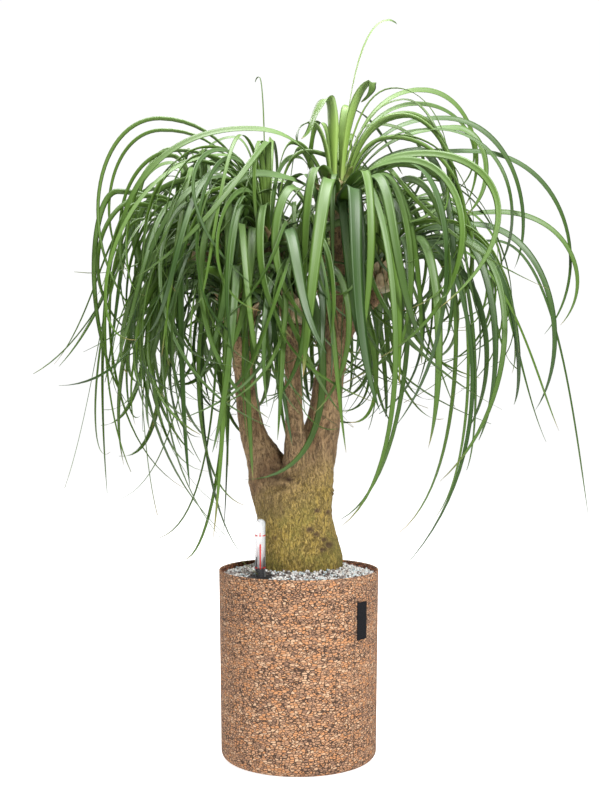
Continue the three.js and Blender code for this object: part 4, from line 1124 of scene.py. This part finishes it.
def limb_tube(path, sides):
    middle, radius = path[:, None, :3], path[:, None, 3:]
    run = unit(np.vstack([path[1:, :3], path[-1:, :3]]) - np.vstack([path[:1, :3], path[:-1, :3]]))
    across = unit(np.cross([0, 1, 0], run))
    along = np.cross(run, across)
    turn = 2 * math.pi * np.arange(sides)[None, :, None] / sides
    points = middle + radius * (np.cos(turn) * across[:, None] + np.sin(turn) * along[:, None])
    return points.reshape(-1, 3).tolist(), skin(len(path), sides)


def trunk(material):
    """The limbs' tubes, run together into one skin."""
    limbs = [stations for name, stations in LIMBS.items() if name != "base"]
    tubes = [limb_tube(smooth_path(FOOT_IN_BED + LIMBS["base"]), FOOT_SIDES)]
    tubes += [limb_tube(smooth_path(stations), LIMB_SIDES) for stations in limbs + [FORK_WEB]]
    points, faces = joined(tubes)
    made = piece("bark_trunk", points, faces, material, HOLDER, ["trunk"])
    remesh = made.modifiers.new("voxels", "REMESH")
    remesh.mode = "VOXEL"
    remesh.voxel_size = BARK_VOXEL * MM
    soften = made.modifiers.new("soften", "SMOOTH")
    soften.factor = 0.5
    soften.iterations = BARK_SOFTENING
    graph = bpy.context.evaluated_depsgraph_get()
    smooth = bpy.data.meshes.new_from_object(made.evaluated_get(graph))
    made.modifiers.clear()
    made.data = smooth
    rough_bark(smooth)
    smooth.polygons.foreach_set("use_smooth", [True] * len(smooth.polygons))
    return made


def rough_bark(mesh):
    """Fissures, swellings and knots, as real relief."""
    size = len(mesh.vertices)
    places, normals = np.empty(size * 3), np.empty(size * 3)
    mesh.vertices.foreach_get("co", places)
    mesh.vertices.foreach_get("normal", normals)
    places, normals = places.reshape(-1, 3), normals.reshape(-1, 3)
    push, knot_mask, fold_crease_shade = np.zeros(size), np.zeros(size), np.zeros(size)
    for i, (x, y, z) in enumerate(places):
        swell = noise.noise(Vector((x, y, z)) * SWELL_FINE)
        wide, up = FISSURE_FINE
        fissure = abs(noise.noise(Vector((x * wide, y * wide, z * up))))
        wide, up = GRAIN_FINE
        grain = noise.noise(Vector((x * wide, y * wide, z * up)))
        wide, up = FOLD_FINE
        fold = noise.noise(Vector((x * wide + z * FOLD_SLANT, y * wide, z * up)))
        aside = (x / MM - FOLDS["x"]) / FOLDS["wide"]
        above = (z / MM - FOLDS["z"]) / FOLDS["high"]
        folded = math.exp(-aside ** 2 - above ** 2) if y < 0 else 0
        push[i] = (BARK_SWELL * swell + BARK_FISSURE * (0.35 - fissure) + BARK_GRAIN * grain
                   + BARK_FOLD * folded * fold)
        # painted shade in the creases of the folds, passed to the bark shader as its fold attribute
        fold_crease_shade[i] = folded * clamp(0.5 - 1.6 * fold)
    for kx, kz, radius in KNOTS:
        away = np.hypot(places[:, 0] - kx * MM, (places[:, 2] - kz * MM) * 1.3) / (radius * MM)
        front = places[:, 1] < 0.01
        lump = np.exp(-away ** 2) * front
        dent = np.exp(-(away / 0.45) ** 2) * front
        push += KNOT_LUMP * lump - KNOT_DENT * dent
        knot_mask = np.maximum(knot_mask, np.clip(1.5 * dent + 0.45 * lump, 0, 1))
    places += normals * push[:, None]
    mesh.vertices.foreach_set("co", places.ravel())
    for name, values in (("knot", knot_mask), ("fold", fold_crease_shade)):
        layer = mesh.attributes.new(name, "FLOAT", "POINT")
        layer.data.foreach_set("value", values.astype(np.float32))
    mesh.update()


# ---------- Planter, granules and gauge ----------

def planter(material):
    lip = PLANTER_RIM_ROUND
    inner_top = PLANTER_TOP_RADIUS - PLANTER_WALL
    inner_base = PLANTER_BASE_RADIUS - PLANTER_WALL
    straight = [(lerp(PLANTER_BASE_RADIUS, PLANTER_TOP_RADIUS, t),
                 lerp(PLANTER_BOTTOM_ROUND, PLANTER_HEIGHT - lip, t))
                for t in np.linspace(0.05, 1, 20)]
    profile = [(0, 0)]
    profile += arc(PLANTER_BASE_RADIUS - PLANTER_BOTTOM_ROUND, PLANTER_BOTTOM_ROUND,
                   PLANTER_BOTTOM_ROUND, -90, 0, 10)
    profile += straight
    profile += arc(PLANTER_TOP_RADIUS - lip, PLANTER_HEIGHT - lip, lip, 20, 90, 4)
    profile += arc(inner_top + lip, PLANTER_HEIGHT - lip, lip, 90, 160, 4)
    profile += [(inner_top, PLANTER_HEIGHT - 2 * lip), (inner_base, PLANTER_FLOOR), (0, PLANTER_FLOOR)]
    points, faces = turned(profile, PLANTER_SIDES)
    return piece("cork_planter", points, faces, material, HOLDER, ["planter_shell"])


def inner_cork_shade(material):
    """Painted shade: a darker copy of the cork on the inner wall, where the granules leave it bare."""
    low, lip = INNER_CORK_FOOT, PLANTER_HEIGHT - 3
    outer = PLANTER_TOP_RADIUS - PLANTER_WALL - 0.02
    profile = [(outer - 0.05, low), (outer, low), (outer + 0.1, lip), (outer - 0.25, lip),
               (outer - 0.6, low), (outer - 0.05, low)]
    points, faces = turned(profile, PLANTER_SIDES)
    return piece("inner_cork_shade", points, faces, material, HOLDER)


def granules_top(x, y):
    heap = GRANULES_HEAP * clamp((HEAP_EDGE - math.hypot(x, y)) / HEAP_RUN)
    ripple = math.sin(x * 0.19 + 1.3) * math.cos(y * 0.23 - 0.4) + 0.7 * math.sin((x + y) * 0.31)
    return GRANULES_EDGE_HEIGHT + heap + GRANULES_RIPPLE * ripple


def granules(material):
    """Angular stones strewn over the bed, clear of the trunk and the gauge's plate."""
    rng = random.Random(STREWN_SEED)
    seed = bmesh.new()
    bmesh.ops.create_icosphere(seed, subdivisions=1, radius=1)
    corners = np.array([v.co for v in seed.verts])
    facets = [tuple(v.index for v in face.verts) for face in seed.faces]
    seed.free()
    stones, tones = [], []
    trunk_x = LIMBS["base"][0][0]
    while len(stones) < GRANULE_COUNT:
        turn = rng.uniform(0, 2 * math.pi)
        radius = math.sqrt(rng.uniform(STREWN_FROM ** 2, STREWN_TO ** 2))
        x, y = radius * math.cos(turn), radius * math.sin(turn)
        if math.hypot(x - trunk_x, y) < TRUNK_BERTH:
            continue
        if math.hypot(x - GAUGE_X, y - GAUGE_Y) < PLATE_RADIUS - 2:
            continue
        if radius > SPARSE_FROM and rng.random() < SPARSE_SHARE:
            continue
        size = GRANULE_SIZE / 2 * rng.uniform(*STONE_SIZES)
        z = granules_top(x, y) + rng.uniform(*STONE_LIFT)
        stone = corners * np.array([rng.uniform(*STONE_STRETCH) for _ in range(3)]) * size
        rough = STONE_ROUGHNESS
        jitter = np.array([[rng.uniform(-rough, rough) for _ in range(3)] for _ in corners]) * size
        a = rng.uniform(0, math.pi)
        spin = np.array([[math.cos(a), -math.sin(a), 0], [math.sin(a), math.cos(a), 0], [0, 0, 1]])
        tilt = rng.uniform(0, math.pi)
        cos, sin = math.cos(tilt), math.sin(tilt)
        roll = np.array([[1, 0, 0], [0, cos, -sin], [0, sin, cos]])
        strewn = (stone + jitter) @ (spin @ roll).T + np.array([x, y, z])
        stones.append((strewn.tolist(), facets))
        tones += [rng.random()] * len(corners)
    points, faces = joined(stones)
    return piece("granules", points, faces, material, HOLDER,
                 attributes={"tone": tones}, smooth=False)


def tag(material):
    """The bare tag, bent round the planter, with softened edges."""
    middle = math.radians(TAG_BEARING - 90)
    slope = (PLANTER_TOP_RADIUS - PLANTER_BASE_RADIUS) / PLANTER_HEIGHT
    cork_face = lerp(PLANTER_BASE_RADIUS, PLANTER_TOP_RADIUS, TAG_CENTRE_HEIGHT / PLANTER_HEIGHT)
    inner = cork_face + TAG_BACK
    half = TAG_WIDTH / 2 / inner
    points = []
    for i in range(TAG_COLUMNS + 1):
        a = middle + lerp(-half, half, i / TAG_COLUMNS)
        for out, up in ((0, -1), (TAG_THICKNESS, -1), (TAG_THICKNESS, 1), (0, 1)):
            rise = up * TAG_HEIGHT / 2
            radius = inner + out + slope * rise
            points.append((radius * math.cos(a), radius * math.sin(a), TAG_CENTRE_HEIGHT + rise))
    faces = skin(TAG_COLUMNS + 1, 4, mirrored=True)
    made = piece("tag", points, faces, material, HOLDER, ["label_tag"])
    round_off(made, TAG_EDGE)
    return made


def round_off(made, radius):
    """Bevels the sharp edges by this radius."""
    bevel = made.modifiers.new("edges", "BEVEL")
    bevel.width = radius * MM
    bevel.segments = 2
    bevel.limit_method = "ANGLE"
    bevel.angle_limit = math.radians(40)
    bevel.harden_normals = False


def gauge(black, clear, red):
    at = (GAUGE_X, GAUGE_Y)
    plate_top = PLATE_UNDERSIDE + PLATE_THICKNESS
    seat, seat_top = TUBE_OUTER_RADIUS + TUBE_SEAT, plate_top + TUBE_SEAT_RISE
    bore = SHAFT_OUTER_RADIUS - SHAFT_WALL
    profile = [
        (bore, SHAFT_FOOT), (SHAFT_OUTER_RADIUS, SHAFT_FOOT), (SHAFT_OUTER_RADIUS, PLATE_UNDERSIDE),
        (PLATE_RADIUS, PLATE_UNDERSIDE), (PLATE_RADIUS, plate_top - PLATE_EDGE),
        (PLATE_RADIUS - PLATE_EDGE, plate_top), (seat, plate_top), (seat, seat_top),
        (COLLAR_RADIUS, seat_top), (COLLAR_RADIUS, COLLAR_TOP), (COLLAR_BORE_RADIUS, COLLAR_TOP),
        (COLLAR_BORE_RADIUS, PLATE_UNDERSIDE - 1), (bore, PLATE_UNDERSIDE - 1), (bore, SHAFT_FOOT)]
    shells = [turned(profile, HOUSING_SIDES, at)] + [tongue(sign, plate_top) for sign in (-1, 1)]
    points, faces = joined(shells)
    housing = piece("gauge_housing", points, faces, black, HOLDER, ["gauge_shaft"])
    sharpen(housing)
    bottom = plate_top + TUBE_FOOT_RISE
    inner = TUBE_OUTER_RADIUS - TUBE_WALL
    springing = TUBE_TOP - TUBE_OUTER_RADIUS
    shell = [(inner, bottom), (TUBE_OUTER_RADIUS, bottom)]
    shell += arc(0, springing, TUBE_OUTER_RADIUS, 0, DOME_END, DOME_STEPS) + [(0, TUBE_TOP)]
    shell += [(0, springing + inner)] + arc(0, springing, inner, DOME_END, 0, DOME_STEPS)
    shell.append((inner, bottom))
    points, faces = turned(shell, TUBE_SIDES, at)
    tube = piece("gauge_window", points, faces, clear, HOLDER, ["gauge_tube"])
    sharpen(tube, 50)
    marks(red)
    top = FLOAT_UNDERSIDE + FLOAT_LENGTH
    points, faces = turned([
        (0, FLOAT_UNDERSIDE), (FLOAT_RADIUS - FLOAT_EDGE, FLOAT_UNDERSIDE),
        (FLOAT_RADIUS, FLOAT_UNDERSIDE + FLOAT_EDGE), (FLOAT_RADIUS, top - FLOAT_EDGE),
        (FLOAT_RADIUS - FLOAT_EDGE, top), (ROD_RADIUS, top), (ROD_RADIUS, ROD_TOP - 1),
        (ROD_RADIUS - ROD_POINT, ROD_TOP), (0, ROD_TOP)], ROD_SIDES, at)
    rod = piece("gauge_rod", points, faces, red, FLOAT, ["gauge_float"])
    sharpen(rod)


def tongue(sign, low):
    """One of the collar's two tongues, standing up inside the tube."""
    half = COLLAR_TONGUE_WIDTH / 2
    points = []
    for z, thick in zip((low, COLLAR_TONGUE_TOP), TONGUE_THICK):
        for y in np.linspace(-half, half, TONGUE_COLUMNS):
            x = math.sqrt(COLLAR_RADIUS ** 2 - y * y)
            points.append((GAUGE_X + sign * x, GAUGE_Y + y, z))
            points.append((GAUGE_X + sign * (x - thick), GAUGE_Y + y, z))
    faces = []
    for i in range(4):
        a, b = 2 * i, 10 + 2 * i
        faces += [(a, a + 2, b + 2, b), (a + 1, b + 1, b + 3, a + 3), (b, b + 2, b + 3, b + 1),
                  (a, a + 1, a + 3, a + 2)]
    faces += [(0, 10, 11, 1), (8, 9, 19, 18)]
    return points, faces


def dash(turn, span, low, high):
    """One raised dash, over a span of degrees from the tube's front or back."""
    points = []
    for i in range(MARK_STEPS + 1):
        a = math.radians(lerp(turn + span[0], turn + span[1], i / MARK_STEPS) - 90)
        for out, z in ((0, low), (0, high), (MARK_THICK, high), (MARK_THICK, low)):
            r = TUBE_OUTER_RADIUS - MARK_SUNK + out
            points.append((GAUGE_X + r * math.cos(a), GAUGE_Y + r * math.sin(a), z))
    return points, skin(MARK_STEPS + 1, 4)


def marks(red):
    """Raised red dashes round the tube at the highest and lowest water level."""
    dashes = []
    for turn in (0, 180):
        for level in (HIGH_MARK, LOW_MARK):
            for span in MARK_SIDES:
                dashes.append(dash(turn, span, level - MARK_HALF, level + MARK_HALF))
        dashes.append(dash(turn, MARK_MIDDLE, HIGH_MARK - MARK_HALF, HIGH_MARK + MARK_HALF))
        low, high = (HIGH_MARK + rise for rise in MARK_POINTER_RISE)
        dashes.append(dash(turn, MARK_POINTER, low, high))
    points, faces = joined(dashes)
    made = piece("level_marks", points, faces, red, HOLDER)
    sharpen(made)


# ---------- Light, floor and camera ----------

def studio():
    scene = bpy.context.scene
    scene.view_settings.view_transform = "Standard"
    scene.view_settings.look = "None"
    s = Shader("studio", "worlds")
    seen = s.node("ShaderNodeLightPath", output="Is Camera Ray")
    strength = seen * (WORLD_SEEN - WORLD_LIGHT) + WORLD_LIGHT
    sky = s.node("ShaderNodeBackground", {"Color": 1.0, "Strength": strength})
    s.node("ShaderNodeOutputWorld", {"Surface": sky})
    scene.world = s.made
    for name, (place, aim, size, power) in LAMPS.items():
        light = bpy.data.lights.new(name, "AREA")
        light.size = size
        light.energy = power
        lamp = bpy.data.objects.new(name, light)
        lamp.location = place
        lamp.rotation_euler = (Vector(aim) - Vector(place)).to_track_quat("-Z", "Y").to_euler()
        scene.collection.objects.link(lamp)
    s = Shader("pale_floor")
    speckle = s.noise(s.place(), 3.0)
    seen = s.node("ShaderNodeLightPath", output="Is Camera Ray")
    floor_paint = s.finish(Base_Color=s.blend(speckle, (0.90, 0.90, 0.90), (0.92, 0.92, 0.92)),
                           Roughness=0.9, Emission_Strength=1.0,
                           Emission_Color=s.blend(seen, (0.35, 0.35, 0.35), (0.90, 0.90, 0.90)))
    mesh = bpy.data.meshes.new("floor")
    half = FLOOR_HALF
    corners = [(-half, -half, 0), (half, -half, 0), (half, half, 0), (-half, half, 0)]
    mesh.from_pydata(corners, [], [(0, 1, 2, 3)])
    mesh.materials.append(floor_paint)
    floor = bpy.data.objects.new("floor", mesh)
    scene.collection.objects.link(floor)


def camera():
    data = bpy.data.cameras.new("camera")
    data.sensor_width = SENSOR
    data.lens = SENSOR * FOCAL_PIXELS / FRAME_HEIGHT
    made = bpy.data.objects.new("camera", data)
    made.location = (CAMERA_ASIDE, -CAMERA_AWAY, CAMERA_HEIGHT)
    made.rotation_euler = (math.radians(90), 0, 0)
    bpy.context.scene.collection.objects.link(made)
    bpy.context.scene.camera = made


# ---------- The whole ----------

def dress(node, material):
    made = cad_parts[node]
    made.data.materials.clear()
    made.data.materials.append(material)


green = leaf_green()
for head_name, grown in grow_leaves().items():
    crown(head_name, HEADS[head_name], grown, green)
trunk(bark())
planter(cork("cork_skin", (0.610, 0.395, 0.245), (0.530, 0.250, 0.112), (0.440, 0.245, 0.140),
             (0.265, 0.150, 0.096), (0.056, 0.034, 0.025)))
# the same cork in darker colours, as painted shade inside the planter's mouth
inner_cork_shade(cork("cork_inner_shade", (0.420, 0.200, 0.120), (0.340, 0.120, 0.050), (0.240, 0.100, 0.060),
                (0.120, 0.050, 0.035), (0.040, 0.020, 0.015)))
granules(granule_stone())
tag(tag_cloth())
black_plastic = moulded("black_plastic", (0.008, 0.008, 0.010), 0.38)
gauge(black_plastic, clear_plastic(), moulded("red_plastic", (0.560, 0.020, 0.015), 0.35))
dress("insert_liner", moulded("liner_plastic", (0.010, 0.010, 0.012), 0.5))
dress("substrate", granule_bed())
studio()
camera()
